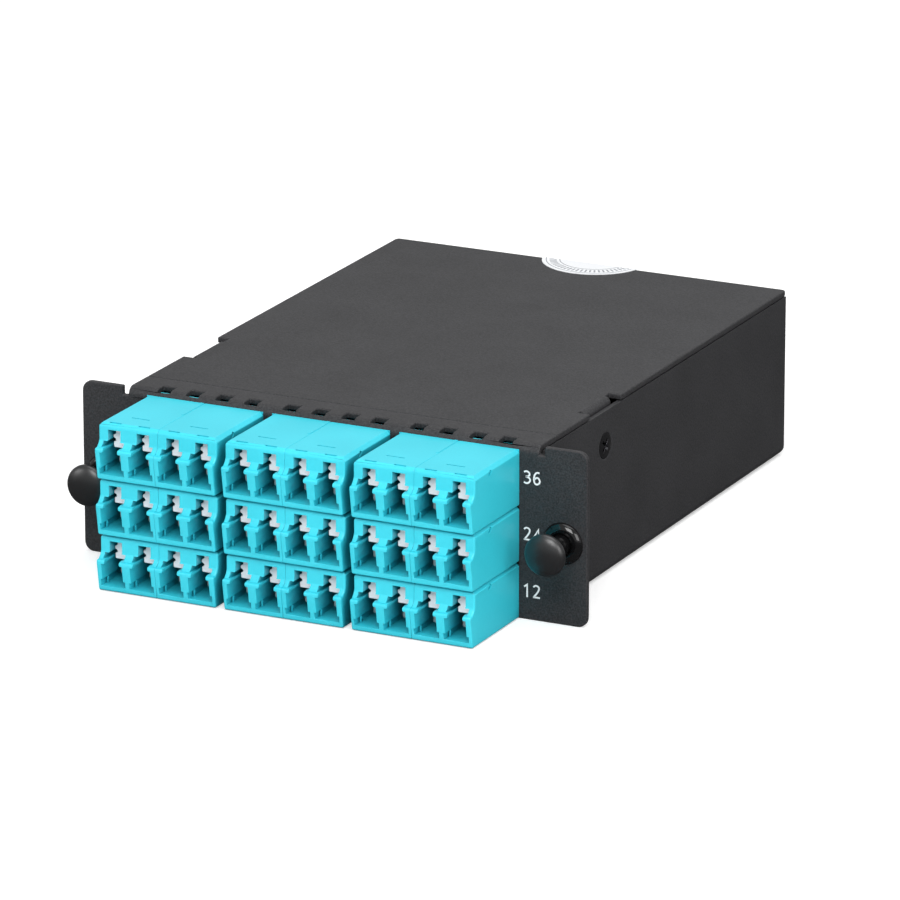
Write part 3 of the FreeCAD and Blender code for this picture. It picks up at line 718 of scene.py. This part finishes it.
def piece_on_points(tree, given, places):
    """The rest of a tree: the piece at each of its places, as real mesh with its finish."""
    piece = add(tree, "GeometryNodeObjectInfo", {"Object": given["Piece"]})
    copies = add(tree, "GeometryNodeInstanceOnPoints", {"Instance": piece.outputs["Geometry"], **places})
    real = add(tree, "GeometryNodeRealizeInstances", {"Geometry": copies.outputs["Instances"]})
    coated = add(tree, "GeometryNodeSetMaterial", {"Geometry": real.outputs["Geometry"],
                                                   "Material": given["Finish"]})
    add(tree, "NodeGroupOutput", {"Geometry": coated.outputs["Geometry"]})
    return tree


def grid_tree():
    """Geometry nodes that repeat a piece on the panel's columns and rows."""
    tree, given = repeat_tree("repeat_on_panel", {"Columns": "Int", "Rows": "Int", "Column Pitch": "Float",
                                                  "Row Pitch": "Float", "Middle": "Vector"})
    spans = []
    for count, pitch in (("Columns", "Column Pitch"), ("Rows", "Row Pitch")):
        gaps = add(tree, "ShaderNodeMath", {0: given[count], 1: 1.0}, operation="SUBTRACT")
        spans.append(add(tree, "ShaderNodeMath", {0: gaps.outputs[0], 1: given[pitch]},
                         operation="MULTIPLY").outputs[0])
    grid = add(tree, "GeometryNodeMeshGrid", {"Size X": spans[0], "Size Y": spans[1],
                                              "Vertices X": given["Columns"], "Vertices Y": given["Rows"]})
    upright = add(tree, "GeometryNodeTransform", {"Geometry": grid.outputs["Mesh"],
                                                  "Translation": given["Middle"],
                                                  "Rotation": (math.pi / 2, 0, 0)})
    return piece_on_points(tree, given, {"Points": upright.outputs["Geometry"]})


def ring_tree():
    """Geometry nodes that repeat a mark round a circle, each turned outwards."""
    tree, given = repeat_tree("repeat_round_circle", {"Count": "Int", "Radius": "Float"})
    circle = add(tree, "GeometryNodeMeshCircle", {"Vertices": given["Count"], "Radius": given["Radius"]})
    place = add(tree, "GeometryNodeInputPosition").outputs["Position"]
    turn = add(tree, "FunctionNodeAlignRotationToVector", {"Vector": place}, axis="Y")
    return piece_on_points(tree, given, {"Points": circle.outputs["Mesh"],
                                         "Rotation": turn.outputs["Rotation"]})


def repeated(name, tree, values):
    """The plain mesh object that a tree makes from its named inputs."""
    host = to_object(bmesh.new(), name)
    modifier = host.modifiers.new("repeat", "NODES")
    modifier.node_group = tree
    for item in tree.interface.items_tree:
        if item.in_out == "INPUT":
            modifier[item.identifier] = values[item.name]
    bpy.context.view_layer.update()
    mesh = taken(host)
    bpy.data.objects.remove(values["Piece"])
    return linked(name, mesh)


def on_panel(name, piece, material):
    """A piece drawn at the middle of one adapter's underside, repeated at all nine."""
    middle = Vector((0, FACE_Y, HOUSING_LOW.z + ROW_PITCH)) * MM
    return repeated(name, grid_tree(), {"Piece": piece, "Finish": material, "Columns": 3, "Rows": 3,
                                        "Column Pitch": COLUMN_PITCH * MM, "Row Pitch": ROW_PITCH * MM,
                                        "Middle": middle})


# Settings

class SheetMetalSettings(bpy.types.PropertyGroup):
    """Edge and colour of the folded sheet's coat."""
    edge: FloatProperty(name="Edge radius", description="Radius that the coating gives the sheet's cut edges",
                        default=0.27 * MM, unit="LENGTH")
    coat_dark: FloatVectorProperty(name="Coat, dark", description="Darker tone of the sheet's coat",
                                   default=linear("#242426"), size=4, subtype="COLOR")
    coat_light: FloatVectorProperty(name="Coat, light", description="Lighter tone of the sheet's coat",
                                    default=linear("#3a3a3c"), size=4, subtype="COLOR")


class AdapterSettings(bpy.types.PropertyGroup):
    """Edges and colour of the adapters, and the painted shade in their cavities."""
    port_edge: FloatProperty(name="Port edge", description="Radius round each port's opening",
                             default=PORT_EDGE * MM, unit="LENGTH")
    side_round: FloatProperty(name="Side rounding", description="Radius along the housing's outer sides",
                              default=SIDE_ROUND * MM, unit="LENGTH")
    plastic_dark: FloatVectorProperty(name="Plastic, dark", description="Darker tone of the adapters",
                                      default=linear("#33c4d6"), size=4, subtype="COLOR")
    plastic_light: FloatVectorProperty(name="Plastic, light", description="Lighter tone of the adapters",
                                       default=linear("#39cbdd"), size=4, subtype="COLOR")
    # Painted shade: the colour that the adapters' cavities are darkened to
    plastic_painted_shade: FloatVectorProperty(name="Plastic, deep", description="Tone of the adapters' cavities",
                                      default=linear("#087586"), size=4, subtype="COLOR")


class LatchSettings(bpy.types.PropertyGroup):
    """Rounding of the latches."""
    head_round: FloatProperty(name="Head fullness", default=0.3, min=0.0, max=1.0,
                              description="Share by which the head's dome is fuller than an ellipse")


class PrintSettings(bpy.types.PropertyGroup):
    """Sizes of what is printed."""
    digit_height: FloatProperty(name="Digit height", description="Height of the port numbers on the ear",
                                default=2.7 * MM, unit="LENGTH")
    ink: FloatProperty(name="Ink thickness", description="How far the ink stands off the coat",
                       default=0.03 * MM, unit="LENGTH")
    marks: IntProperty(name="Seal marks", description="How many short marks go round the seal",
                       default=60, min=3)


class StageSettings(bpy.types.PropertyGroup):
    """Camera's place and lens."""
    azimuth: FloatProperty(name="Azimuth", description="Camera's angle round the part, from front to right",
                           default=math.radians(25.99), subtype="ANGLE")
    elevation: FloatProperty(name="Elevation", description="Camera's angle above the floor",
                             default=math.radians(17.55), subtype="ANGLE")
    distance: FloatProperty(name="Distance", description="Camera's distance from what it looks at",
                            default=1448 * MM, unit="LENGTH")
    lens: FloatProperty(name="Lens", description="Focal length on a 36 mm sensor", default=291.05,
                        unit="CAMERA")
    target: FloatVectorProperty(name="Target", description="What the camera looks at",
                                default=(1.12 * MM, (FACE_Y + 50.0) * MM, 14.16 * MM),
                                subtype="TRANSLATION", unit="LENGTH")


# Pieces

class CASSETTE_OT_sheet_metal(bpy.types.Operator):
    """Dress the tray, the panel and the cover in coated metal with round edges"""
    bl_idname = "cassette.sheet_metal"
    bl_label = "Sheet metal"

    def execute(self, context):
        settings = context.scene.cassette_sheet
        coat = powder_coat(settings)
        for node in ("base_tray", "front_panel", "top_cover"):
            piece = soften(to_object(cad_copy(node), node + "_coated"), settings.edge / MM)
            dressed(piece, coat, BODY, [node])
        return {"FINISHED"}


class CASSETTE_OT_screws(bpy.types.Operator):
    """Make the two countersunk cross-head screws"""
    bl_idname = "cassette.screws"
    bl_label = "Screws"

    def execute(self, context):
        screws = merged("cover_screws_cross", [self.screw(side) for side in SIDES.values()])
        soften(screws, SCREW_EDGE, angle=30.0)
        dressed(screws, black_oxide_steel(), BODY, ["cover_screws"])
        return {"FINISHED"}

    @staticmethod
    def screw(side):
        """A screw whose head lies in a side wall, with a cross cut into it."""
        head_r = (SCREW_HIGH.z - SCREW_LOW.z) / 2
        profile = [(head_r * share, depth) for share, depth in SCREW_CROWN]
        profile += [(head_r - inwards, depth) for inwards, depth in SCREW_RIM]
        screw = to_object(lathe(profile + list(SCREW_SHANK), (0, 0), SCREW_SIDES), "screw")
        for turn in (0, math.pi / 2):
            arm = prism(CROSS_ARM, along_z, -CROSS_HALF, CROSS_HALF)
            bmesh.ops.rotate(arm, verts=arm.verts, matrix=Matrix.Rotation(turn, 3, "Y"))
            screw = carve(screw, to_object(arm, "cross"))
        mesh = taken(screw)
        outward = (Matrix.Rotation(side * math.pi / 2, 4, "Z")
                   @ Matrix.Rotation(math.radians(CROSS_TURN), 4, "Y"))
        place = Vector((side * SCREW_HIGH.x, (SCREW_HIGH.y + SCREW_LOW.y) / 2,
                        (SCREW_HIGH.z + SCREW_LOW.z) / 2))
        mesh.transform(Matrix.Translation(place * MM) @ outward)
        return mesh


class CASSETTE_OT_label(bpy.types.Operator):
    """Make the round paper seal with its printed rings and marks"""
    bl_idname = "cassette.label"
    bl_label = "Seal label"

    def execute(self, context):
        settings = context.scene.cassette_print
        high = in_mm("seal_label")[1]
        paper = cad_copy("seal_label")
        for vert in paper.verts:
            if vert.co.z > (high.z - ON_FACE) * MM:
                vert.co.z -= settings.ink
            if vert.co.y > (high.y - ON_FACE) * MM:
                vert.co.y -= settings.ink
        dressed(to_object(paper, "seal_label_paper"), seal_paper(), BODY, ["seal_label"])
        grey = grey_ink()
        fold = Vector((0, high.y - LABEL_THICK, high.z - LABEL_THICK))
        parts = [self.face_print(settings, fold, over, grey) for over in (True, False)]
        dressed(merged("seal_label_print", parts), grey, BODY)
        return {"FINISHED"}

    @staticmethod
    def face_print(settings, fold, on_cover, material):
        """The rings and marks on one face of the folded seal, cut off at the fold."""
        ink = settings.ink / MM
        bm = bmesh.new()
        for radius in SEAL_RINGS:
            mesh = plate([ring_points((0, 0), radius + SEAL_LINE / 2, ROUND_SIDES),
                          ring_points((0, 0), radius - SEAL_LINE / 2, ROUND_SIDES)], (0, ink))
            mesh.transform(Matrix.Rotation(-math.pi / 2, 4, "X"))
            bm.from_mesh(mesh)
        wide, long = SEAL_MARK
        mark = to_object(prism(box_outline(0, wide, -long / 2, long), along_z, -ink, 0), "mark")
        marks = repeated("seal_marks", ring_tree(), {"Piece": mark, "Finish": material,
                                                     "Count": settings.marks, "Radius": SEAL_MARK_RING * MM})
        bm.from_mesh(marks.data)
        bpy.data.objects.remove(marks)
        bmesh.ops.translate(bm, verts=bm.verts, vec=(0, LABEL_OVERHANG * MM, 0))
        sliced(bm, (0, 0, 0), (0, 1 if on_cover else -1, 0))
        if not on_cover:
            bmesh.ops.rotate(bm, verts=bm.verts, matrix=Matrix.Rotation(-math.pi / 2, 3, "X"))
        lift = Vector((0, 0, LABEL_THICK)) if on_cover else Vector((0, LABEL_THICK, 0))
        bmesh.ops.translate(bm, verts=bm.verts, vec=(fold + lift) * MM)
        return bm


class CASSETTE_OT_adapters(bpy.types.Operator):
    """Make the nine four-port adapters: moulded fronts, and necks behind the panel"""
    bl_idname = "cassette.adapters"
    bl_label = "LC adapters"

    def execute(self, context):
        settings = context.scene.cassette_adapter
        plastic = aqua_moulding(settings)
        half = self.half_housing(settings.side_round / MM)
        for cutter in (self.port_cutter(), self.rail_cutter(), self.groove_cutter()):
            half = carve(half, cutter)
        twin = half.data.copy()
        twin.transform(Matrix.Scale(-1, 4, (1, 0, 0)))
        twin.flip_normals()
        housing = merged("housing", [half.data, twin])
        bpy.data.objects.remove(half)
        soften(housing, settings.port_edge / MM, angle=32.0, stays_sharp=self.inside_or_groove)
        bpy.context.view_layer.update()
        fronts = on_panel("adapter_fronts", merged("front", [taken(housing)] + self.ribs()), plastic)
        dressed(fronts, plastic, BODY, ["lc_adapter_" + ports for ports in PORT_RANGES])
        necks = [self.neck("lc_adapter_" + ports) for ports in PORT_RANGES]
        dressed(merged("adapter_necks", necks), plastic, BODY)
        return {"FINISHED"}

    @staticmethod
    def neck(node):
        """What of an adapter lies behind the panel's face, its snaps cut down to what the windows show."""
        top = (in_mm(node)[1].z - ON_FACE) * MM
        neck = sliced(cad_copy(node), (0, FACE_Y * MM, 0), (0, -1, 0))
        for vert in neck.verts:
            if vert.co.z > top:
                vert.co.z -= SNAP_LOWER * MM
        return neck

    @staticmethod
    def half_housing(side_round):
        """One of the housing's two joined halves, uncut: nose, swoop and strip, with soft corners."""
        nose = -REACH
        strip = nose + STRIP_SETBACK
        side = [(0, 0, 0), (nose + NOSE_LEAN, 0, FOOT_ROUND), (nose, NOSE_LEAN_H, 0),
                (nose, NOSE_TOP, NOSE_ROUND), (nose + CAP_DEPTH, NOSE_TOP, 0),
                (strip - SWOOP_BEND, (NOSE_TOP + SWOOP_TOP) / 2, 0), (strip, SWOOP_TOP, 0),
                (strip, HOUSING_H, TOP_ROUND), (0, HOUSING_H, 0)]
        rings = []
        turns = range(ROUND_TURNS + 1)
        for level, radius, order in ((0, SEAM_ROUND, turns), (HALF_W, side_round, reversed(turns))):
            for turn in order:
                angle = math.pi / 2 * turn / ROUND_TURNS
                step = radius * (1 - math.sin(angle))
                back = radius * (1 - math.cos(angle))
                outline = rounded(inset(side, [step] * (len(side) - 1) + [0]))
                rings.append((outline, back if level == 0 else level - back))
        chamfer = Vector((HALF_W, 0, HOUSING_H - TOP_CHAMFER)) * MM
        bm = sliced(drum(rings, along_x), chamfer, (1, 0, 1))
        bmesh.ops.holes_fill(bm, edges=bm.edges)
        bmesh.ops.recalc_face_normals(bm, faces=bm.faces)
        return to_object(bm, "half_housing")

    @staticmethod
    def port_cutter():
        """What two ports take out of a half: foot, plug space, lips, the slot over them and the notch."""
        parts = []
        for middle in PORT_MIDDLES:
            corners = []
            for half, top, radius in PORT_STEPS:
                bottom = corners[-1][1] if corners else PORT_FLOOR
                corners += [(half, bottom, radius), (half, top, 0)]
            corners += [(-half, z, radius) for half, z, radius in reversed(corners)]
            outline = rounded([(middle + x, z, radius) for x, z, radius in corners], PORT_ARC_STEPS)
            parts.append(prism(outline, along_y, -REACH - CUT_PAST, -REACH + PORT_DEPTH + CUT_BEHIND))
        return merged("cutter", parts)

    @staticmethod
    def rail_cutter():
        """What makes the rails behind the posts' caps thinner than the caps."""
        parts = []
        half, top = PORT_STEPS[1][:2]
        for middle in PORT_MIDDLES:
            across = (middle - half + RAIL_INSET, middle + half - RAIL_INSET)
            parts.append(prism(rectangle(across, (top - CUT_INTO, RAIL_UNDER)), along_y,
                               -REACH + CAP_DEPTH, -REACH + PORT_DEPTH))
        return merged("cutter", parts)

    @staticmethod
    def groove_cutter():
        """What the fine grooves on top and the dimple in the side take out of a half."""
        strip = -REACH + STRIP_SETBACK
        grooves = [(middle, strip + DASH_BACK, DASH) for middle in PORT_MIDDLES]
        grooves.append((sum(PORT_MIDDLES) / 2, strip + LONG_DASH_BACK, LONG_DASH))
        parts = [prism(box_outline(middle, length, front, breadth), along_z, HOUSING_H - depth,
                       HOUSING_H + CUT_PAST) for middle, front, (length, breadth, depth) in grooves]
        dimple = prism(ring_points((0, 0), 1.0, DIMPLE_SIDES), along_x, HALF_W - DIMPLE[2], HALF_W + CUT_PAST)
        bmesh.ops.scale(dimple, verts=dimple.verts, vec=(1, DIMPLE[0], DIMPLE[1]))
        tilt = Matrix.Rotation(math.radians(DIMPLE_TILT), 3, "X")
        bmesh.ops.rotate(dimple, verts=dimple.verts, matrix=tilt)
        place = Vector((0, -REACH + DIMPLE_BACK, DIMPLE_UP))
        bmesh.ops.translate(dimple, verts=dimple.verts, vec=place * MM)
        parts.append(dimple)
        return merged("cutter", parts)

    @staticmethod
    def inside_or_groove(middle):
        """Whether an edge lies inside a port, on a saddle between ports or in a groove.

        The limits stand a little off the edges that they tell apart.
        """
        nose = -REACH
        middle = Vector((abs(middle.x), middle.y, middle.z))
        in_port = (middle.y > nose + CAP_DEPTH - 0.01 and 0.4 < middle.x < HALF_W - 0.5
                   and middle.z < SWOOP_TOP - 0.1)
        in_notch = (middle.y > nose + STRIP_SETBACK + 0.05 and middle.x < HALF_W - 0.5
                    and middle.z < PORT_STEPS[-1][1] + 0.1)
        on_top = middle.z > HOUSING_H - 0.3 and 0.5 < middle.x < HALF_W - 1.0
        dimple = Vector((HALF_W, nose + DIMPLE_BACK, DIMPLE_UP))
        in_dimple = middle.x > HALF_W - 0.5 and (middle - dimple).length < DIMPLE_NEAR
        return in_port or in_notch or on_top or in_dimple

    @staticmethod
    def ribs():
        """The strip beside the seam on top, and a small upright stop in each port."""
        wide, long, rise = TOP_RIB
        bend = wide / 2 * TOP_RIB_ROUND
        outline = rounded([(-TOP_RIB_GAP - wide, -long, bend), (-TOP_RIB_GAP, -long, bend),
                           (-TOP_RIB_GAP, 0, 0), (-TOP_RIB_GAP - wide, 0, 0)])
        parts = [prism(outline, along_z, HOUSING_H - TOP_RIB_SINK, HOUSING_H + rise)]
        wide, breadth, height = STOP_RIB
        for middle in ALL_PORTS:
            outline = box_outline(middle - PORT_STEPS[1][0], wide, -REACH + STOP_RIB_BACK, breadth)
            parts.append(prism(outline, along_z, PORT_FLOOR, PORT_FLOOR + height))
        return parts


class CASSETTE_OT_holders(bpy.types.Operator):
    """Make the white holders, whose tongues and sleeves show in the ports"""
    bl_idname = "cassette.holders"
    bl_label = "Sleeve holders"

    def execute(self, context):
        back = -REACH + PORT_DEPTH
        inner = [prism(rectangle((-PLATE_HALF, PLATE_HALF), PLATE_Z), along_y, back, back + PLATE_THICK)]
        tongues = []
        for middle in ALL_PORTS:
            square = rounded(rectangle((middle - SOCKET_HALF, middle + SOCKET_HALF),
                                       (SOCKET_Z - SOCKET_HALF, SOCKET_Z + SOCKET_HALF), SOCKET_ROUND))
            bore = ring_points((middle, SOCKET_Z), SOCKET_BORE_R, SOCKET_BORE_SIDES)
            inner.append(plate([square, bore], (back - SOCKET_REACH, back), SOCKET_EDGE))
            tongue = rounded([(middle + x, z, radius) for x, z, radius in TONGUE], TONGUE_ARC_STEPS)
            tongues.append(plate([tongue], (back - TONGUE_REACH, back), TONGUE_EDGE))
        # Plate and sockets get a copy of the white whose painted shade reaches farther into the ports; the
        # tongues' copy reaches less far
        shaded_white = white_moulding("white_polyester_in_port", IN_PORT_SHADE_REACH)
        holders = on_panel("sleeve_holders_white", merged("holder", inner), shaded_white)
        dressed(holders, shaded_white, BODY, ["sleeve_holder_" + ports for ports in PORT_RANGES])
        white = white_moulding()
        tongues = on_panel("holder_tongues_white", merged("tongues", tongues), white)
        dressed(tongues, white, BODY)
        return {"FINISHED"}


class CASSETTE_OT_latches(bpy.types.Operator):
    """Make the push-pull latches in the ears"""
    bl_idname = "cassette.latches"
    bl_label = "Latches"

    def execute(self, context):
        gloss = black_nylon_polished()
        satin = black_nylon_satin()
        fullness = context.scene.cassette_latch.head_round
        for name in SIDES:
            low, high = in_mm("latch_plunger_" + name)
            place = ((low.x + high.x) / 2, (low.z + high.z) / 2)
            head_r = (high.x - low.x) / 2
            flange_low, flange_high = in_mm("latch_grommet_" + name)
            flange = self.flange(place, flange_low.y, (flange_high.x - flange_low.x) / 2)
            start = (0, (FACE_Y + BARREL_START) * MM, 0)
            barrel = sliced(cad_copy("latch_grommet_" + name), start, (0, -1, 0))
            grommet = merged("latch_grommet_%s_gloss" % name, [flange, barrel])
            soften(grommet, GROMMET_EDGE, angle=40.0)
            dressed(grommet, gloss, BODY, ["latch_grommet_" + name])
            head = to_object(self.head(place, low.y, head_r, fullness), "latch_head_%s_satin" % name)
            soften(head, PLUNGER_EDGE, angle=40.0)
            dressed(head, satin, "plunger_" + name, ["latch_plunger_" + name])
            neck = to_object(self.neck(place, low.y + HEAD_DEPTH, high.y), "latch_neck_%s_gloss" % name)
            soften(neck, PLUNGER_EDGE, angle=40.0)
            dressed(neck, gloss, "plunger_" + name)
        return {"FINISHED"}

    @staticmethod
    def flange(place, front, radius):
        """The grommet's ring in front of the ear."""
        profile = [(FLANGE_BORE_R + out, front + back) for out, back in FLANGE_LIP]
        profile += [(radius - inwards, front + back) for inwards, back in FLANGE_EDGE]
        profile += [(radius, FACE_Y - FLANGE_FOOT), (radius, FACE_Y), (FLANGE_BORE_R, FACE_Y)]
        return lathe(profile, place)

    @staticmethod
    def head(place, front, radius, fullness):
        """The plunger's domed head."""
        profile = []
        for step in range(DOME_STEPS + 1):
            turn = math.pi / 2 * step / DOME_STEPS
            wide = math.sin(turn) * (1 - fullness) + math.sin(turn) ** FULLER_POWER * fullness
            profile.append((radius * wide, front + HEAD_DOME * (1 - math.cos(turn))))
        back = front + HEAD_DEPTH
        profile += [(radius - inwards, back - ahead) for inwards, ahead in HEAD_BACK] + [(0, back)]
        return lathe(profile, place)

    @staticmethod
    def neck(place, front, rear):
        """The plunger's shaft, waisted under the head, and the collar that keeps it in the grommet."""
        return lathe([(radius, front + back) for radius, back in WAIST]
                     + [(radius, rear - ahead) for radius, ahead in COLLAR], place)


class CASSETTE_OT_numbers(bpy.types.Operator):
    """Print the port numbers on the right ear"""
    bl_idname = "cassette.numbers"
    bl_label = "Port numbers"

    def execute(self, context):
        settings = context.scene.cassette_print
        parts = []
        for text, z in NUMBERS:
            parts += self.number(text, NUMBER_X, z, settings.digit_height / MM, settings.ink / MM)
        dressed(merged("port_numbers", parts), white_ink(), BODY)
        return {"FINISHED"}

    @staticmethod
    def number(text, x, z, height, thick):
        """Flat strokes of a number, centred on a place on the ear's face."""
        parts = []
        left = x - (len(text) - 1) * DIGIT_STEP * height / 2 - DIGIT_HALF * height
        for digit in text:
            for smooth, points in DIGITS[digit]:
                path = [Vector((left + a * height, z + (b - 0.5) * height)) for a, b in points]
                if smooth:
                    path = eased_through(path, DIGIT_BEND_STEPS)
                parts.append(prism(ribbon(path, DIGIT_STROKE * height), along_y, FACE_Y - thick, FACE_Y))
            left += DIGIT_STEP * height
        return parts


class CASSETTE_OT_inner_parts(bpy.types.Operator):
    """Give the pieces inside and at the rear their materials"""
    bl_idname = "cassette.inner_parts"
    bl_label = "Inner and rear pieces"

    def execute(self, context):
        coat_node("adapter_clips", spring_steel())
        plug = beige_plug_plastic()
        for ports in PORT_RANGES:
            coat_node("lc_plugs_" + ports, plug)
        jacket = aqua_jacket()
        black = black_adapter_plastic()
        for ports in ROW_RANGES:
            coat_node("fan_out_" + ports, jacket)
            coat_node("mpo_lead_" + ports, jacket)
            coat_node("mpo_plug_" + ports, black)
            adapter = to_object(cad_copy("mpo_adapter_" + ports), "mpo_adapter_%s_soft" % ports)
            soften(adapter, MPO_EDGE)
            dressed(adapter, black, BODY, ["mpo_adapter_" + ports])
        return {"FINISHED"}


class CASSETTE_OT_stage(bpy.types.Operator):
    """Set up the floor, the world, the lamps and the camera"""
    bl_idname = "cassette.stage"
    bl_label = "Stage"

    def execute(self, context):
        scene = context.scene
        scene.view_settings.view_transform = "Standard"
        self.floor()
        self.world(scene)
        for lamp in LAMPS:
            self.lamp(*lamp)
        self.camera(scene, scene.cassette_stage)
        return {"FINISHED"}

    @staticmethod
    def floor():
        """A wide pale floor, dull in what mirrors it, and clear from below and to what lies right on it."""
        bm = bmesh.new()
        bmesh.ops.create_grid(bm, x_segments=1, y_segments=1, size=FLOOR_HALF)
        bmesh.ops.translate(bm, verts=bm.verts, vec=(0, 0, -FLOOR_DROP * MM))
        floor = to_object(bm, "floor")
        material = blank("pale_floor")
        tree = material.node_tree
        rays = add(tree, "ShaderNodeLightPath").outputs
        tone = add(tree, "ShaderNodeMix", {"Factor": rays["Is Glossy Ray"], "A": linear("#dcdcdc"),
                                           "B": linear("#4a4a4a")}, data_type="RGBA")
        diffuse = add(tree, "ShaderNodeBsdfDiffuse", {"Color": tone.outputs["Result"]})
        glow = add(tree, "ShaderNodeEmission", {"Color": linear("#ffffff"), "Strength": FLOOR_GLOW})
        lit = add(tree, "ShaderNodeAddShader", {0: diffuse.outputs[0], 1: glow.outputs[0]})
        shape = add(tree, "ShaderNodeNewGeometry").outputs
        away = add(tree, "ShaderNodeVectorMath", {0: shape["Position"]}, operation="LENGTH")
        far = add(tree, "ShaderNodeMapRange", {"Value": away.outputs["Value"], "From Min": FLOOR_FADE[0],
                                               "From Max": FLOOR_FADE[1]})
        plain_white = add(tree, "ShaderNodeEmission", {"Color": linear("#ffffff")})
        faded = add(tree, "ShaderNodeMixShader", {"Fac": far.outputs["Result"], 1: lit.outputs[0],
                                                  2: plain_white.outputs[0]})
        mixed = add(tree, "ShaderNodeMixShader", {"Fac": rays["Is Camera Ray"], 1: diffuse.outputs[0],
                                                  2: faded.outputs[0]})
        close = add(tree, "ShaderNodeMath", {0: rays["Ray Length"], 1: FLOOR_CLEAR * MM},
                    operation="LESS_THAN")
        through = add(tree, "ShaderNodeMath", {0: shape["Backfacing"], 1: close.outputs[0]},
                      operation="MAXIMUM")
        clear = add(tree, "ShaderNodeBsdfTransparent")
        one_sided = add(tree, "ShaderNodeMixShader", {"Fac": through.outputs[0], 1: mixed.outputs[0],
                                                      2: clear.outputs[0]})
        add(tree, "ShaderNodeOutputMaterial", {"Surface": one_sided.outputs[0]})
        floor.data.materials.append(material)

    @staticmethod
    def world(scene):
        """White where the camera looks past the floor, and a soft fill elsewhere."""
        world = bpy.data.worlds.new("studio")
        world.use_nodes = True
        tree = world.node_tree
        tree.nodes.clear()
        rays = add(tree, "ShaderNodeLightPath").outputs
        white = add(tree, "ShaderNodeBackground", {"Color": linear("#ffffff"), "Strength": 1.0})
        fill = add(tree, "ShaderNodeBackground", {"Color": linear("#ffffff"), "Strength": FILL})
        mixed = add(tree, "ShaderNodeMixShader", {"Fac": rays["Is Camera Ray"], 1: fill.outputs[0],
                                                  2: white.outputs[0]})
        add(tree, "ShaderNodeOutputWorld", {"Surface": mixed.outputs[0]})
        scene.world = world

    @staticmethod
    def lamp(name, place, size, power):
        """A square softbox that points at the part."""
        light = bpy.data.lights.new(name, "AREA")
        light.shape = "SQUARE"
        light.size = size
        light.energy = power
        lamp = linked(name, light)
        lamp.location = place
        lamp.rotation_euler = (Vector(LAMP_AIM) - Vector(place)).to_track_quat("-Z", "Y").to_euler()

    @staticmethod
    def camera(scene, settings):
        """The camera at the photograph's angle."""
        data = bpy.data.cameras.new("camera")
        data.sensor_width = 36.0
        data.lens = settings.lens
        camera = linked("camera", data)
        level = math.cos(settings.elevation)
        back = Vector((math.sin(settings.azimuth) * level, -math.cos(settings.azimuth) * level,
                       math.sin(settings.elevation)))
        camera.location = Vector(settings.target) + back * settings.distance
        camera.rotation_euler = (-back).to_track_quat("-Z", "Y").to_euler()
        scene.camera = camera


class CASSETTE_PT_panel(bpy.types.Panel):
    """Buttons and settings for the cassette's looks"""
    bl_idname = "CASSETTE_PT_panel"
    bl_label = "Fibre cassette"
    bl_space_type = "VIEW_3D"
    bl_region_type = "UI"
    bl_category = "Cassette"

    def draw(self, context):
        for key in SETTINGS:
            group = getattr(context.scene, key)
            for name in group.bl_rna.properties.keys():
                if name not in ("rna_type", "name"):
                    self.layout.prop(group, name)
        for operator in STEPS:
            self.layout.operator(operator.bl_idname)


SETTINGS = {"cassette_sheet": SheetMetalSettings, "cassette_adapter": AdapterSettings,
            "cassette_latch": LatchSettings, "cassette_print": PrintSettings, "cassette_stage": StageSettings}
STEPS = (CASSETTE_OT_sheet_metal, CASSETTE_OT_screws, CASSETTE_OT_label, CASSETTE_OT_adapters,
         CASSETTE_OT_holders, CASSETTE_OT_latches, CASSETTE_OT_numbers, CASSETTE_OT_inner_parts,
         CASSETTE_OT_stage)


def register():
    """Register the settings, the operators and the panel."""
    for kind in (*SETTINGS.values(), *STEPS, CASSETTE_PT_panel):
        bpy.utils.register_class(kind)
    for key, kind in SETTINGS.items():
        setattr(bpy.types.Scene, key, PointerProperty(type=kind))


def unregister():
    """Take out all that register put in."""
    for key in SETTINGS:
        delattr(bpy.types.Scene, key)
    for kind in reversed((*SETTINGS.values(), *STEPS, CASSETTE_PT_panel)):
        bpy.utils.unregister_class(kind)


def main():
    """Make every piece in order."""
    register()
    for step in STEPS:
        group, name = step.bl_idname.split(".")
        getattr(getattr(bpy.ops, group), name)()


if __name__ == "__main__":
    main()
